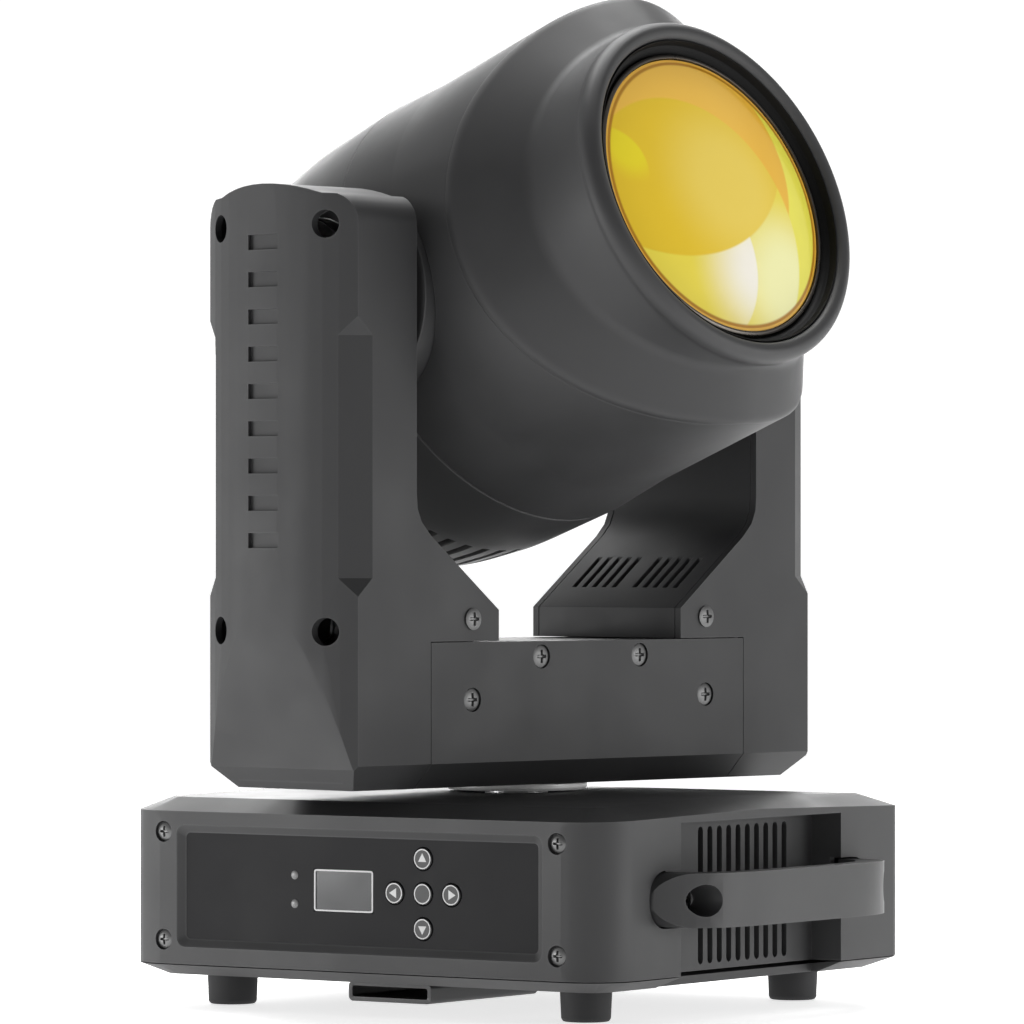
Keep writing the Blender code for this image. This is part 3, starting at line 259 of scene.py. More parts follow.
def grid_piece(name, points, body, look, closed=(True, False), caps=(False, False), sharp=35.0):
    """A surface through a grid of points in millimetres. Columns and rows may close on themselves,
    and the first and last rows may each be filled by a fan to their middle. Its faces are turned
    round where the volume that they enclose comes out negative."""
    rows, cols = points.shape[:2]
    verts = points.reshape(-1, 3) * 0.001
    i, j = np.meshgrid(np.arange(rows if closed[1] else rows - 1),
                       np.arange(cols if closed[0] else cols - 1), indexing="ij")
    a = i * cols + j
    b = i * cols + (j + 1) % cols
    c = ((i + 1) % rows) * cols + (j + 1) % cols
    d = ((i + 1) % rows) * cols + j
    quads = np.stack([a, b, c, d], axis=-1).reshape(-1, 4)
    faces = quads.tolist()
    around = np.arange(cols)
    for row, wanted in ((0, caps[0]), (rows - 1, caps[1])):
        if not wanted:
            continue
        middle = len(verts)
        verts = np.vstack([verts, points[row].mean(axis=0) * 0.001])
        first = row * cols + around
        after = row * cols + (around + 1) % cols
        pair = (after, first) if row == 0 else (first, after)
        faces += np.stack([pair[0], pair[1], np.full(cols, middle)], axis=-1).tolist()
    mesh = bpy.data.meshes.new(name)
    mesh.from_pydata(verts.tolist(), [], faces)
    mesh.validate()
    mesh.calc_loop_triangles()
    corners = np.zeros(len(mesh.loop_triangles) * 3, np.int32)
    mesh.loop_triangles.foreach_get("vertices", corners)
    tri = verts[corners.reshape(-1, 3)]
    if np.einsum("ij,ij->i", tri[:, 0], np.cross(tri[:, 1], tri[:, 2])).sum() < 0:
        mesh.flip_normals()
    mesh.shade_smooth()
    mesh.set_sharp_from_angle(angle=math.radians(sharp))
    mesh.materials.append(look)
    piece = bpy.data.objects.new(name, mesh)
    scene.collection.objects.link(piece)
    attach(piece, body)
    return piece


def soften(profile, reach, count=5):
    """Rounds the corners of a profile of (radius, along) points: each corner gives way to a quadratic
    curve that starts and ends the given distance from it, or halfway to the next point."""
    made = [profile[0]]
    for k in range(1, len(profile) - 1):
        before, corner, after = profile[k - 1], profile[k], profile[k + 1]
        size = reach[k] if hasattr(reach, "__len__") else reach
        ends = []
        for other in (before, after):
            away = other - corner
            length = np.linalg.norm(away, axis=0)
            share = np.minimum(size, length * 0.48) / np.maximum(length, 1e-9)
            ends.append(corner + away * share)
        for t in np.linspace(0.0, 1.0, count):
            made.append((1 - t) ** 2 * ends[0] + 2 * t * (1 - t) * corner + t ** 2 * ends[1])
    made.append(profile[-1])
    return np.array(made)


def turned(name, profile, body, look, spot, axes, count=64, reach=0.4, caps=True):
    """A profile of (radius, along) points, softened at its corners and turned about an axis: each
    point is the centre, plus along the axis, plus the radius across it at the turning angle."""
    shape = soften(np.array(profile, float), reach)
    turn = np.linspace(0, 2 * math.pi, count, endpoint=False)
    across = (np.cos(turn)[:, None] * axes[0] + np.sin(turn)[:, None] * axes[1])
    points = spot + shape[:, 0, None, None] * across[None] + shape[:, 1, None, None] * axes[2]
    piece = grid_piece(name, points, body, look, caps=(caps, caps))
    return piece


X, Y, Z = np.eye(3)
rubber_look = textured("foot_rubber", (0.02, 0.02, 0.021), 0.72, grain=1400.0, depth=0.00006)
for foot in ("foot_front_left", "foot_front_right", "foot_back_left", "foot_back_right"):
    low, high = (np.array(c) * 1000 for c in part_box(foot))
    middle = (low + high) / 2
    radius = (high[0] - low[0]) / 2
    tall = high[2] - low[2]
    profile = [(2.4, 1.6), (4.2, 1.5), (4.4, 0.0), (radius - 1.0, 0.0), (radius - 0.4, 0.9),
               (radius, tall), (radius - 1.5, tall)]
    piece = turned(foot + "_rubber", profile, "base", rubber_look,
                   np.array([middle[0], middle[1], low[2]]), (X, Y, Z))
    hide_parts(foot)

black_metal = textured("black_powder_coat", (0.03, 0.03, 0.031), 0.42, grain=1700.0, depth=0.00004,
                       wear=0.4)
rounded_copy("clamp_channel", "base", black_metal, 0.0004)

# ---------------------------------------------------------------- screws
# Cross-recessed pan-head machine screws of steel hold the panel, the yoke plates, the arm covers,
# the handles and the sockets. Those on the panel and the beam are zinc-plated, the rest blackened.
screw_look = textured("zinc_plate", (0.13, 0.13, 0.13), 0.42, metal=1.0, grain=900.0, depth=0.00002,
                      vary=0.18)
panel_screw = textured("panel_screw_steel", (0.16, 0.16, 0.16), 0.4, metal=0.8, grain=900.0,
                       depth=0.00002, vary=0.15)
dark_screw = textured("blackened_steel", (0.05, 0.05, 0.05), 0.4, metal=1.0, grain=900.0,
                      depth=0.00002, vary=0.2)


def screw_head(name, spot, out, radius, body, look, tall=None):
    """A domed head on a polar grid: height falls with the square of the radius, and drops by the
    recess depth wherever a point lies inside a tapered cross."""
    out = np.array(out, float)
    side = np.cross(out, Z if abs(out[2]) < 0.9 else X)
    side /= np.linalg.norm(side)
    up = np.cross(out, side)
    tall = tall or radius * 0.42
    share = np.concatenate([np.linspace(0.03, 0.92, 22), [0.97, 1.0, 1.0, 0.9]])
    turn = np.linspace(0, 2 * math.pi, 48, endpoint=False)
    x = share[:, None] * np.cos(turn) * radius
    y = share[:, None] * np.sin(turn) * radius
    near = np.minimum(abs(x), abs(y)) / radius
    far = np.maximum(abs(x), abs(y)) / radius
    cross = np.clip((0.15 - 0.05 * far - near) / 0.05, 0, 1) * np.clip((0.62 - far) / 0.06, 0, 1)
    rise = tall * (1 - 0.55 * share[:, None] ** 2.4) - cross * tall * 0.85
    rise[-2] = 0.0
    rise[-1] = 0.0
    points = np.array(spot, float) + x[..., None] * side + y[..., None] * up + rise[..., None] * out
    grid_piece(name, points, body, look, caps=(True, True), sharp=28.0)


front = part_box("base_housing")[0][1] * 1000
panel_screw_across, panel_screw_heights = 74.85, {"low": 11.4, "high": 45.2}
for side, word in ((-1, "left"), (1, "right")):
    for level, z in panel_screw_heights.items():
        screw_head("panel_screw_%s_%s" % (word, level),
                   (side * panel_screw_across, front + 1.45, underside + z), -Y, 2.75, "base", panel_screw)
handle_screw_across, handle_screw_along, handle_screw_height = 96.6, 51.0, 27.5
for side, word in ((-1, "left"), (1, "right")):
    for end, place in ((-1, "front"), (1, "back")):
        screw_head("handle_screw_%s_%s" % (word, place),
                   (side * handle_screw_across, end * handle_screw_along, underside + handle_screw_height),
                   X * side, 4.0, "base", dark_screw)

# ---------------------------------------------------------------- control panel
# A printed film over the panel plate carries plain outlines; the marks on it are generic.
# The frame round it is part of the housing, and slopes down to the film on all four sides.
panel_low, panel_high = (np.array(c) * 1000 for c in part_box("control_panel"))
film = panel_low[1]


def round_box(half_w, half_h, radius, count=8):
    """Outline of a rectangle with rounded corners: a quarter turn about each corner's centre."""
    turn = np.linspace(0, math.pi / 2, count)
    points = []
    for k, (sx, sy) in enumerate(((1, 1), (-1, 1), (-1, -1), (1, -1))):
        angle = turn + k * math.pi / 2
        points.append(np.stack([sx * (half_w - radius) + radius * np.cos(angle),
                                sy * (half_h - radius) + radius * np.sin(angle)], axis=-1))
    return np.vstack(points)


def band(name, centre, outlines, depths, body, look):
    """A closed strip through several outlines about one centre on the panel, each at its own depth."""
    rows = []
    for outline, depth in zip(outlines, depths):
        rows.append(np.stack([centre[0] + outline[:, 0], np.full(len(outline), depth),
                              centre[1] + outline[:, 1]], axis=-1))
    piece = grid_piece(name, np.array(rows), body, look, closed=(True, True), sharp=20.0)
    return piece


panel_middle = ((panel_low[0] + panel_high[0]) / 2, (panel_low[2] + panel_high[2]) / 2)
half_w = (panel_high[0] - panel_low[0]) / 2
half_h = (panel_high[2] - panel_low[2]) / 2
band("panel_frame", panel_middle,
     [round_box(half_w + 0.28, half_h + 0.28, 3.0), round_box(half_w - 2.3, half_h - 2.2, 1.6),
      round_box(half_w + 0.2, half_h + 0.2, 2.9)],
     [front + 0.02, film - 0.05, film - 0.02], "base", shell_look)

ink_look = textured("panel_ink", (0.62, 0.62, 0.62), 0.5, grain=2400.0, depth=0.000005, vary=0.04)
screen_look = textured("display_glass", (0.012, 0.013, 0.015), 0.12, grain=500.0, depth=0.000002, coat=0.6)


def finish_node(node, look):
    """Gives a CAD piece that keeps its own shape a finish."""
    mesh = frame["nodes"][node].data
    mesh.materials.clear()
    mesh.materials.append(look)


finish_node("display_window", screen_look)
window_low, window_high = (np.array(c) * 1000 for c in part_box("display_window"))
window_middle = ((window_low[0] + window_high[0]) / 2, (window_low[2] + window_high[2]) / 2)
wide, tall = (window_high[0] - window_low[0]) / 2, (window_high[2] - window_low[2]) / 2
outer = round_box(wide + 0.15, tall + 0.15, 0.9)
inner = round_box(wide - 0.35, tall - 0.35, 0.5)
band("display_outline", window_middle, [outer, outer, inner, inner],
     [film + 0.1, film - 0.06, film - 0.06, film + 0.25], "base", ink_look)
lamp_look = textured("signal_lamp", (0.2, 0.2, 0.2), 0.3, grain=900.0, depth=0.000004)
lamp_across, lamp_heights = -24.7, (32.9, 24.0)
for k, z in enumerate(lamp_heights):
    turned("signal_lamp_%d" % (k + 1), [(0.3, -0.5), (1.35, -0.5), (1.35, 0.15), (0.8, 0.4), (0.2, 0.45)],
           "base", lamp_look, np.array([lamp_across, film, underside + z]), (X, Z, -Y), 32, 0.1)

# ---------------------------------------------------------------- keys
# Five round push keys of black plastic stand in the film and travel into it. Each has a printed
# ring, and four carry a printed arrowhead.
key_look = textured("key_plastic", (0.02, 0.02, 0.021), 0.4, grain=2100.0, depth=0.00001)


def key_mark(name, centre, turn, out, body):
    """A filled arrowhead: three corners a third of a turn apart about a centre, a hair proud of the key."""
    angle = np.radians(90) + np.array([0, 2, 4]) * math.pi / 3 + turn
    tip = np.stack([np.cos(angle), np.sin(angle)], axis=-1) * 1.75
    share = np.linspace(0, 1, 9)[:, None]
    edge = np.vstack([tip[k] * (1 - share[:-1]) + tip[(k + 1) % 3] * share[:-1] for k in range(3)])
    rows = [np.stack([centre[0] + edge[:, 0] * s, np.full(len(edge), y), centre[1] + edge[:, 1] * s], axis=-1)
            for s, y in ((1.0, out + 0.05), (1.0, out - 0.04), (0.4, out - 0.045))]
    grid_piece(name, np.array(rows), body, ink_look, caps=(True, True), sharp=30.0)


circle = np.linspace(0, 2 * math.pi, 48, endpoint=False)
ring = np.stack([np.cos(circle), np.sin(circle)], axis=-1)
for key, turn in (("key_enter", None), ("key_up", 0.0), ("key_left", math.pi / 2), ("key_down", math.pi),
                  ("key_right", -math.pi / 2)):
    low, high = (np.array(c) * 1000 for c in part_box(key))
    centre = ((low[0] + high[0]) / 2, (low[2] + high[2]) / 2)
    face = low[1]
    finish_node(key, key_look)
    band(key + "_ring", centre, [ring * 3.08, ring * 3.08, ring * 2.72, ring * 2.72],
         [face + 0.06, face - 0.045, face - 0.045, face + 0.06], key, ink_look)
    if turn is not None:
        key_mark(key + "_arrow", centre, turn, face, key)

# ---------------------------------------------------------------- rear wall
# A coated steel plate carries two round power sockets and two round data sockets, each a
# moulded cup with brass pins, held by two screws. The cups are open, so a plug can go in.
rounded_copy("rear_plate", "base", black_metal, 0.0003)
contact_look = textured("contact_brass", (0.75, 0.55, 0.25), 0.3, metal=1.0, grain=800.0, depth=0.00001)
socket_tints = {"power_in": (0.02, 0.06, 0.25), "power_out": (0.32, 0.33, 0.34),
                "data_in": (0.025, 0.025, 0.026), "data_out": (0.025, 0.025, 0.026)}
data_pins = ((0, 3.6), (-3.1, -1.8), (3.1, -1.8))
power_pins = ((0, 3.8), (-3.4, -2.0), (3.4, -2.0))
pin_profile = [(0.2, 0.0), (1.15, 0.0), (1.15, 10.5), (0.7, 11.4), (0.2, 11.5)]
for socket, tint in socket_tints.items():
    look = textured(socket + "_plastic", tint, 0.4, grain=1900.0, depth=0.00002, wear=0.2)
    rounded_copy(socket, "base", look, 0.0004)
    low, high = (np.array(c) * 1000 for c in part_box(socket))
    centre = np.array([(low[0] + high[0]) / 2, high[1], (low[2] + high[2]) / 2])
    for sx in (-1, 1):
        screw_head(socket + ("_screw_left" if sx < 0 else "_screw_right"),
                   centre + X * sx * 9.9 + Z * sx * 12.4 - Y * 0.2, Y, 2.3, "base", dark_screw)
    for k, (across, up) in enumerate(data_pins if socket.startswith("data") else power_pins):
        turned(socket + "_pin_%d" % (k + 1), pin_profile, "base", contact_look,
               centre + X * across + Z * up - Y * 19.5, (X, Z, Y), 20, 0.2)

# ---------------------------------------------------------------- yoke
# Two moulded arm covers close over a steel chassis and meet coated plates across the beam.
# The arms' inner sides are separate panels with slots for air; a pale nylon collar rings the pan
# bearing below.
joints = {j["name"]: j for j in frame["joints"]}
U = np.array(joints["tilt"]["axis"], float)
V = np.cross(Z, U)
TILT = np.array(joints["tilt"]["pos_m"], float) * 1000


def yoke_spot(u, v, z):
    """A point of the yoke: along the tilt axis, across it, and up from the base."""
    return u * U + v * V + (underside + z) * Z


for node in ("arm_cover_left", "arm_cover_right"):
    rounded_copy(node, "yoke", yoke_look, 0.001)
for node in ("arm_inner_left", "arm_inner_right", "beam_top_cover"):
    rounded_copy(node, "yoke", yoke_look, 0.0004)
for node in ("beam_front_plate", "beam_rear_plate"):
    rounded_copy(node, "yoke", yoke_look, 0.0005)
collar_look = textured("collar_nylon", (0.95, 0.95, 0.94), 0.3, grain=700.0, depth=0.00001, vary=0.03)
low, high = (np.array(c) * 1000 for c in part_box("pan_collar"))
collar_r = (high[0] - low[0]) / 2
piece = turned("pan_collar_ring", [(10.8, 0.0), (collar_r - 0.9, 0.0), (collar_r, 0.8), (collar_r, 2.2),
                                   (10.8, 2.2), (10.8, 0.0)], "yoke", collar_look,
               np.array([0.0, 0.0, low[2]]), (X, Y, Z), 96, 0.2, caps=False)
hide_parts("pan_collar")

# each screw's place along the beam, its height, and how far its seat is sunk
beam_screws = ((22.5, 100.2, 0.9), (53.4, 87.2, 0.9), (53.4, 112.1, -0.05))
beam_face = 32.6
arm_screw_out, arm_screw_across, arm_screw_heights = 96.2, 23.0, (108.6, 232.4)
for side, word in ((-1, "left"), (1, "right")):
    for end, face in ((-1, "front"), (1, "rear")):
        for u, z, sink in beam_screws:
            screw_head("beam_screw_%s_%s_%d" % (word, face, int(z)),
                       yoke_spot(side * u, end * (beam_face - sink), z), V * end, 3.4, "yoke", screw_look,
                       tall=1.0)
        for z in arm_screw_heights:
            screw_head("arm_screw_%s_%s_%d" % (word, face, int(z)),
                       yoke_spot(side * arm_screw_out, end * arm_screw_across, z), U * side, 3.6, "yoke",
                       dark_screw)

# ---------------------------------------------------------------- head
# Three moulded shells: a front shroud with a sloping face, a barrel, and a domed back.
# The shroud slides over the barrel and is screwed from inside, so only its edge shows.
H = np.array(joints["zoom_travel"]["axis"], float)
P = np.cross(H, U)
# radii, and stations along the lens axis from the tilt axis: SPLIT, RIM_FRONT and the names in _S
HEAD_R, HEAD_MID_R, HEAD_WALL, SPLIT = 71.2, 72.5, 2.4, -3.05
NECK_R, RIM_S, RIM_R, RIM_FRONT, OPEN_R = 57.0, 90.6, 56.9, 95.3, 50.5
CREASE_S, CREASE_SIDE_S, NECK_S, NECK_SIDE_S = 46.3, 79.6, 67.0, 87.5
HUB_R = 32.4
ROUND = 192


def swell(turn):
    """One less the size of the direction's cosine raised to a power: 1.3 on the left, 2 on the right."""
    across = np.cos(turn)
    return 1 - np.abs(across) ** np.where(across < 0, 1.3, 2.0)


def head_skin(name, profile, reach, look, node):
    """A closed skin: a profile whose points vary with direction round the lens axis, softened at its
    corners; each point is the tilt centre plus radius across and station along that axis."""
    turn = np.linspace(0, 2 * math.pi, ROUND, endpoint=False)
    rows = np.array([[np.broadcast_to(f, turn.shape) * 1.0 for f in (r, s)] for r, s in profile])
    shape = soften(rows, reach)
    across = np.cos(turn)[:, None] * U + np.sin(turn)[:, None] * P
    points = TILT + shape[:, 0, :, None] * across[None] + shape[:, 1, :, None] * H
    piece = grid_piece(name, points, "head", look, closed=(True, True))
    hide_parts(node)
    return piece


def bake_cut(piece, cutter):
    """Cuts one closed piece from another and keeps the result as the piece's own mesh."""
    mod = piece.modifiers.new("cut", "BOOLEAN")
    mod.object = cutter
    graph = bpy.context.evaluated_depsgraph_get()
    graph.update()
    made = bpy.data.meshes.new_from_object(piece.evaluated_get(graph), depsgraph=graph)
    piece.modifiers.clear()
    look = piece.data.materials[0]
    piece.data = made
    made.materials.clear()
    made.materials.append(look)
    made.polygons.foreach_set("material_index", np.zeros(len(made.polygons), np.int32))
    made.shade_smooth()
    made.set_sharp_from_angle(angle=math.radians(35))
    bpy.data.objects.remove(cutter, do_unlink=True)


turn = np.linspace(0, 2 * math.pi, ROUND, endpoint=False)
crease = CREASE_S + (CREASE_SIDE_S - CREASE_S) * swell(turn)
neck = NECK_S + (NECK_SIDE_S - NECK_S) * swell(turn)
shroud = [(HEAD_R - HEAD_WALL, crease - 2.0), (HEAD_R, crease - 2.5), (HEAD_R, crease), (NECK_R, neck),
          (NECK_R - 0.6, RIM_S - 1.8), (RIM_R, RIM_S), (RIM_R - 0.3, RIM_S + 2.2),
          (RIM_R - 1.6, RIM_FRONT - 0.9), (RIM_R - 3.4, RIM_FRONT), (OPEN_R + 0.9, RIM_FRONT - 0.7),
          (OPEN_R, RIM_FRONT - 2.2), (OPEN_R, 84.0), (OPEN_R + 2.6, 84.0), (OPEN_R + 2.9, 88.0),
          (NECK_R - HEAD_WALL - 0.9, neck - 0.6), (HEAD_R - HEAD_WALL, crease - 2.0)]
shroud_reach = [0.1, 0.1, 2.2, 2.6, 1.2, 1.4, 1.0, 1.2, 1.2, 0.8, 0.8, 0.3, 0.3, 0.3, 0.3, 0.1]
head_skin("shroud_shell", shroud, shroud_reach, shell_look, "front_shroud")
barrel = [(HEAD_MID_R - HEAD_WALL, SPLIT), (HEAD_MID_R - 0.3, SPLIT), (HEAD_MID_R, SPLIT + 0.3),
          (HEAD_R, np.minimum(20.0, crease - 8.0)), (HEAD_R, crease - 2.55),
          (HEAD_R - HEAD_WALL, crease - 2.55), (HEAD_MID_R - HEAD_WALL, SPLIT)]
back = [(HEAD_MID_R - HEAD_WALL, SPLIT - 0.3), (HEAD_MID_R - 0.3, SPLIT - 0.3),
        (HEAD_MID_R, SPLIT - 0.6), (71.4, -35.0), (68.6, -54.0), (65.7, -65.0), (62.4, -74.0),
        (56.5, -82.0), (48.0, -87.5), (40.0, -89.5), (30.0, -90.2), (30.0, -87.6), (46.4, -85.2),
        (54.4, -80.0), (60.0, -73.0), (65.9, -54.0), (HEAD_MID_R - HEAD_WALL, SPLIT - 0.3)]
shells = [head_skin("barrel_shell", barrel, 0.3, shell_look, "head_barrel"),
          head_skin("back_shell", back, [0.1, 0.1, 0.3] + [6.0] * 7 + [0.4] * 7, shell_look, "head_back")]
for shell in shells:
    around = np.linspace(0, 2 * math.pi, 96, endpoint=False)
    rim = (np.cos(around)[:, None] * H + np.sin(around)[:, None] * P) * (HUB_R + 0.3)
    rows = np.array([TILT + rim - 95 * U, TILT + rim + 95 * U])
    drill = grid_piece("drill", rows, "head", shell_look, caps=(True, True))
    bake_cut(shell, drill)



def vent_block(degrees, radii, stations, half_width):
    """A block across one slot: its corners are the tilt centre, plus a radius along the slot's direction
    round the lens axis, plus or minus the half width across it, plus a station along that axis."""
    angle = math.radians(degrees)
    ray = math.cos(angle) * U + math.sin(angle) * P
    side = -math.sin(angle) * U + math.cos(angle) * P
    inner, outer = radii
    around = ((inner, -half_width), (outer, -half_width), (outer, half_width), (inner, half_width))
    return np.array([[TILT + r * ray + w * side + s * H for r, w in around] for s in stations])


# Long slots round the rear corner, and more along the underside, let the fan blow out. None is cut
# within about 37 degrees of the tilt axis.
vents = []
for degrees in range(9, 369, 18):
    if abs(math.cos(math.radians(degrees))) <= 0.80:
        vents.append(vent_block(degrees, (46.0, 60.0), (-92.0, -84.6), 1.4))
        vents.append(vent_block(degrees, (59.0, 75.0), (-81.0, -66.0), 1.4))
for degrees in range(246, 295, 6):
    vents.append(vent_block(degrees, (61.0, 77.0), (-57.0, -33.0), 1.7))
for k, corner in enumerate(vents):
    slot_block = grid_piece("vent_%d" % k, corner, "head", shell_look, caps=(True, True))
    bake_cut(shells[1], slot_block)

rounded_copy("back_grille", "head", trim_look, 0.0004)
for node, side in (("tilt_hub_left", -1), ("tilt_hub_right", 1)):
    shaft_end = 97.5 if side < 0 else 92.0
    profile = [(0.3, 58.0), (HUB_R, 58.0), (HUB_R, 73.6), (HUB_R - 1.2, 74.0), (HUB_R - 4.0, 74.0),
               (HUB_R - 4.0, 75.6), (8.4, 75.6), (8.4, shaft_end), (0.3, shaft_end)]
    piece = turned(node + "_disc", profile, "head", trim_look, TILT, (H, P, U * side), 96, 0.35)
    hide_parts(node)

# ---------------------------------------------------------------- lens
# A large plano-convex glass lens with an amber dichroic coating, held by a thin metal ring
# inside a matt black baffle. Light comes from a board behind it through a moving zoom lens.
# The reflections in the glass are painted into its colour, fixed to the lens.
baffle_look = textured("baffle_black", (0.004, 0.004, 0.004), 0.55, grain=1800.0, depth=0.00003)
baffle_look.node_tree.nodes["Principled BSDF"].inputs["Specular IOR Level"].default_value = 0.12
ring_look = textured("lens_ring_metal", (0.10, 0.09, 0.08), 0.3, metal=0.8, grain=900.0, depth=0.00001)
SEAT_S = 84.0    # station of the lens's flat back, where the baffle and the ring also begin
baffle_profile = [(50.35, SEAT_S), (50.35, 93.6), (50.0, 93.7), (49.5, 91.2), (48.6, 90.6), (47.2, 88.9),
                  (47.2, SEAT_S), (50.35, SEAT_S)]
piece = turned("baffle", baffle_profile, "head", baffle_look, TILT, (U, P, H), 160, 0.2,
               caps=False)
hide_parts("lens_baffle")
ring_profile = [(46.9, SEAT_S), (46.9, 89.9), (46.2, 90.3), (45.6, 90.3), (45.6, SEAT_S), (46.9, SEAT_S)]
piece = turned("lens_retainer", ring_profile, "head", ring_look, TILT, (U, P, H), 160, 0.15,
               caps=False)
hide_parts("lens_ring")


def glass_with_painted_reflections():
    """Coated glass with painted reflections: the soft overlapping discs that its two curved faces and the
    bowl behind them mirror are painted into its colour as discs fixed on the lens plane, with a brown edge by
    radius."""
    look = bpy.data.materials.new("amber_glass_painted_reflections")
    look.use_nodes = True
    tree = look.node_tree
    shader = tree.nodes["Principled BSDF"]
    shader.inputs["IOR"].default_value = 1.45
    shader.inputs["Specular IOR Level"].default_value = 0.3
    shader.inputs["Coat Weight"].default_value = 0.35
    shader.inputs["Coat Roughness"].default_value = 0.06
    # painted light: the lens also gives off its painted colour faintly, so it shines a little by itself
    shader.inputs["Emission Strength"].default_value = 0.04
    place = tree.nodes.new("ShaderNodeTexCoord")
    shift = tree.nodes.new("ShaderNodeVectorMath")
    shift.operation = "SUBTRACT"
    tree.links.new(place.outputs["Object"], shift.inputs[0])
    shift.inputs[1].default_value = tuple((TILT + 88 * H) * 0.001)
    flat = tree.nodes.new("ShaderNodeCombineXYZ")
    for axis, socket in ((U, "X"), (P, "Y")):
        dot = tree.nodes.new("ShaderNodeVectorMath")
        dot.operation = "DOT_PRODUCT"
        tree.links.new(shift.outputs["Vector"], dot.inputs[0])
        dot.inputs[1].default_value = tuple(axis * 1000)
        tree.links.new(dot.outputs["Value"], flat.inputs[socket])

    def disc(u, p, radius, soft):
        """One inside a circle on the lens plane, falling to zero across its soft edge."""
        far = tree.nodes.new("ShaderNodeVectorMath")
        far.operation = "DISTANCE"
        tree.links.new(flat.outputs["Vector"], far.inputs[0])
        far.inputs[1].default_value = (u, p, 0.0)
        edge = node_of(tree, "ShaderNodeMapRange", From_Min=radius + soft, From_Max=radius - soft)
        edge.interpolation_type = "SMOOTHSTEP"
        tree.links.new(far.outputs["Value"], edge.inputs["Value"])
        return edge.outputs["Result"]

    def blend(amount, under, colour):
        """Lays one colour over another by an amount."""
        mix = tree.nodes.new("ShaderNodeMix")
        mix.data_type = "RGBA"
        tree.links.new(amount, mix.inputs["Factor"])
        for value, socket in ((under, "A"), (colour, "B")):
            if isinstance(value, tuple):
                mix.inputs[socket].default_value = (*value, 1.0)
            else:
                tree.links.new(value, mix.inputs[socket])
        return mix.outputs["Result"]

    def product(one, two, flip=False):
        """One amount times another, or times what is left of the other."""
        made = tree.nodes.new("ShaderNodeMath")
        made.operation = "MULTIPLY"
        tree.links.new(one, made.inputs[0])
        if flip:
            rest = tree.nodes.new("ShaderNodeMath")
            rest.operation = "SUBTRACT"
            rest.inputs[0].default_value = 1.0
            tree.links.new(two, rest.inputs[1])
            two = rest.outputs["Value"]
        tree.links.new(two, made.inputs[1])
        return made.outputs["Value"]

    # the discs paint the reflections of the faces and the bowl, and the brown edge; each disc is its place
    # across and up the lens, its radius and its softness, in millimetres
    # painted reflections: bowl, middle and the lower one are painted mirror images, layered into the colour
    bowl = disc(-20.0, 38.0, 60.0, 0.5)
    paint = blend(disc(-6.0, 12.0, 41.0, 0.5), (0.80, 0.74, 0.09), (0.82, 0.47, 0.05))
    paint = blend(disc(-8.0, 30.0, 30.0, 9.0), paint, (0.84, 0.50, 0.07))
    middle = blend(disc(4.0, 2.0, 22.0, 12.0), (0.76, 0.52, 0.025), (0.80, 0.60, 0.10))
    painted_lower_reflection = blend(disc(22.0, -30.0, 20.0, 12.0), (0.80, 0.66, 0.07), (0.86, 0.84, 0.42))
    paint = blend(disc(-13.0, -13.0, 44.0, 0.6), paint, blend(bowl, painted_lower_reflection, middle))
    # painted highlight: a pale, nearly white patch low on the lens, fading to the left, where the glass
    # mirrors a bright light
    painted_highlight = product(disc(-22.0, -22.0, 30.0, 0.5), bowl, True)
    paint = blend(product(painted_highlight, disc(8.0, -26.0, 17.0, 13.0)), paint, (0.88, 0.84, 0.74))
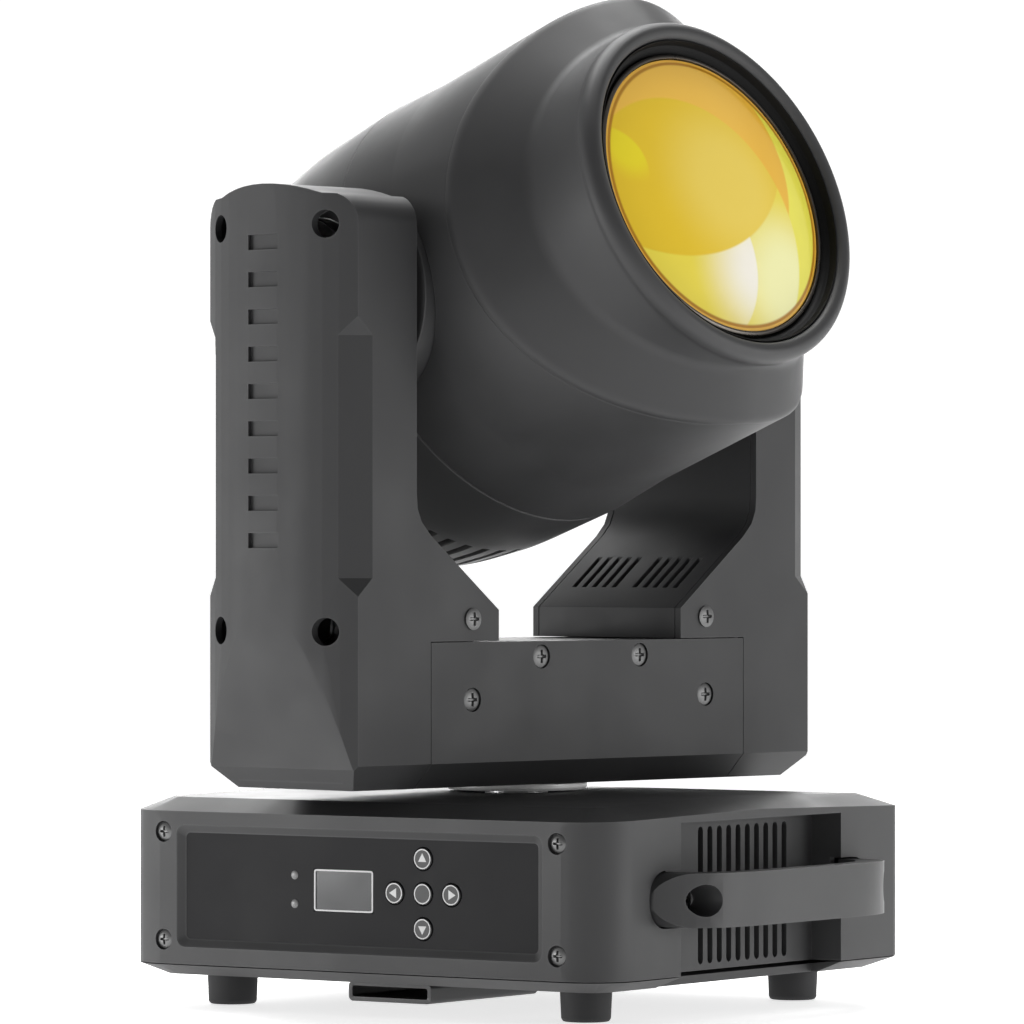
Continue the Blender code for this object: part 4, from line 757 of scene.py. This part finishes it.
    # painted reflection: a narrow crescent of deep yellow near the left edge
    painted_crescent_reflection = product(disc(-42.0, 8.0, 13.0, 0.6), disc(-34.0, 14.0, 9.0, 4.0))
    paint = blend(painted_crescent_reflection, paint, (0.80, 0.66, 0.02))
    paint = blend(disc(0.0, 0.0, 43.4, 0.4), (0.42, 0.19, 0.012), paint)
    paint = blend(disc(0.0, 0.0, 44.4, 0.25), (0.75, 0.42, 0.05), paint)
    haze = node_of(tree, "ShaderNodeTexNoise", Scale=22.0, Detail=2.0, Roughness=0.5)
    tree.links.new(place.outputs["Object"], haze.inputs["Vector"])
    dust = node_of(tree, "ShaderNodeMapRange", From_Min=0.35, From_Max=0.7, To_Min=0.12, To_Max=0.2)
    tree.links.new(haze.outputs["Fac"], dust.inputs["Value"])
    tree.links.new(dust.outputs["Result"], shader.inputs["Roughness"])
    tree.links.new(paint, shader.inputs["Base Color"])
    tree.links.new(paint, shader.inputs["Emission Color"])
    return look


share = np.sin(np.linspace(math.pi / 2, 0.02, 40))
dome = [(45.3 * s, 89.5 + 4.6 * (1 - s ** 2)) for s in share]
piece = turned("lens_glass", [(0.3, SEAT_S), (45.1, SEAT_S), (45.3, SEAT_S + 0.3)] + dome, "head",
               glass_with_painted_reflections(), TILT, (U, P, H), 160, 0.2)
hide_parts("lens")

# ---------------------------------------------------------------- inside
# Drives, electronics and optics, of which little shows from outside: plated steel sheet,
# machined aluminium wheels, moulded belts, and a green circuit board.
steel_look = textured("plated_steel", (0.5, 0.5, 0.5), 0.38, metal=1.0, grain=600.0, depth=0.00001)
aluminium_look = textured("machined_aluminium", (0.66, 0.66, 0.67), 0.32, metal=1.0, grain=1200.0,
                          depth=0.00002)
board_look = textured("circuit_board", (0.02, 0.14, 0.05), 0.45, grain=1500.0, depth=0.00002)
clear_look = textured("clear_glass", (0.92, 0.94, 0.95), 0.03, grain=200.0, depth=0.000001)
clear_look.node_tree.nodes["Principled BSDF"].inputs["Transmission Weight"].default_value = 0.95
inside = {steel_look: ("yoke_chassis", "upright_left", "upright_right", "power_supply", "pan_bearing",
                       "pan_post", "zoom_screw"),
          aluminium_look: ("pan_pulley", "tilt_pulley", "pan_pinion", "tilt_pinion", "heat_sink",
                           "led_board"),
          rubber_look: ("pan_belt", "tilt_belt"), board_look: ("control_board",),
          black_metal: ("pan_motor", "tilt_motor"), clear_look: ("zoom_lens", "mixing_rod"),
          trim_look: ("fan_rotor", "zoom_carriage")}
for look, nodes in inside.items():
    for node in nodes:
        finish_node(node, look)

low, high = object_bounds()
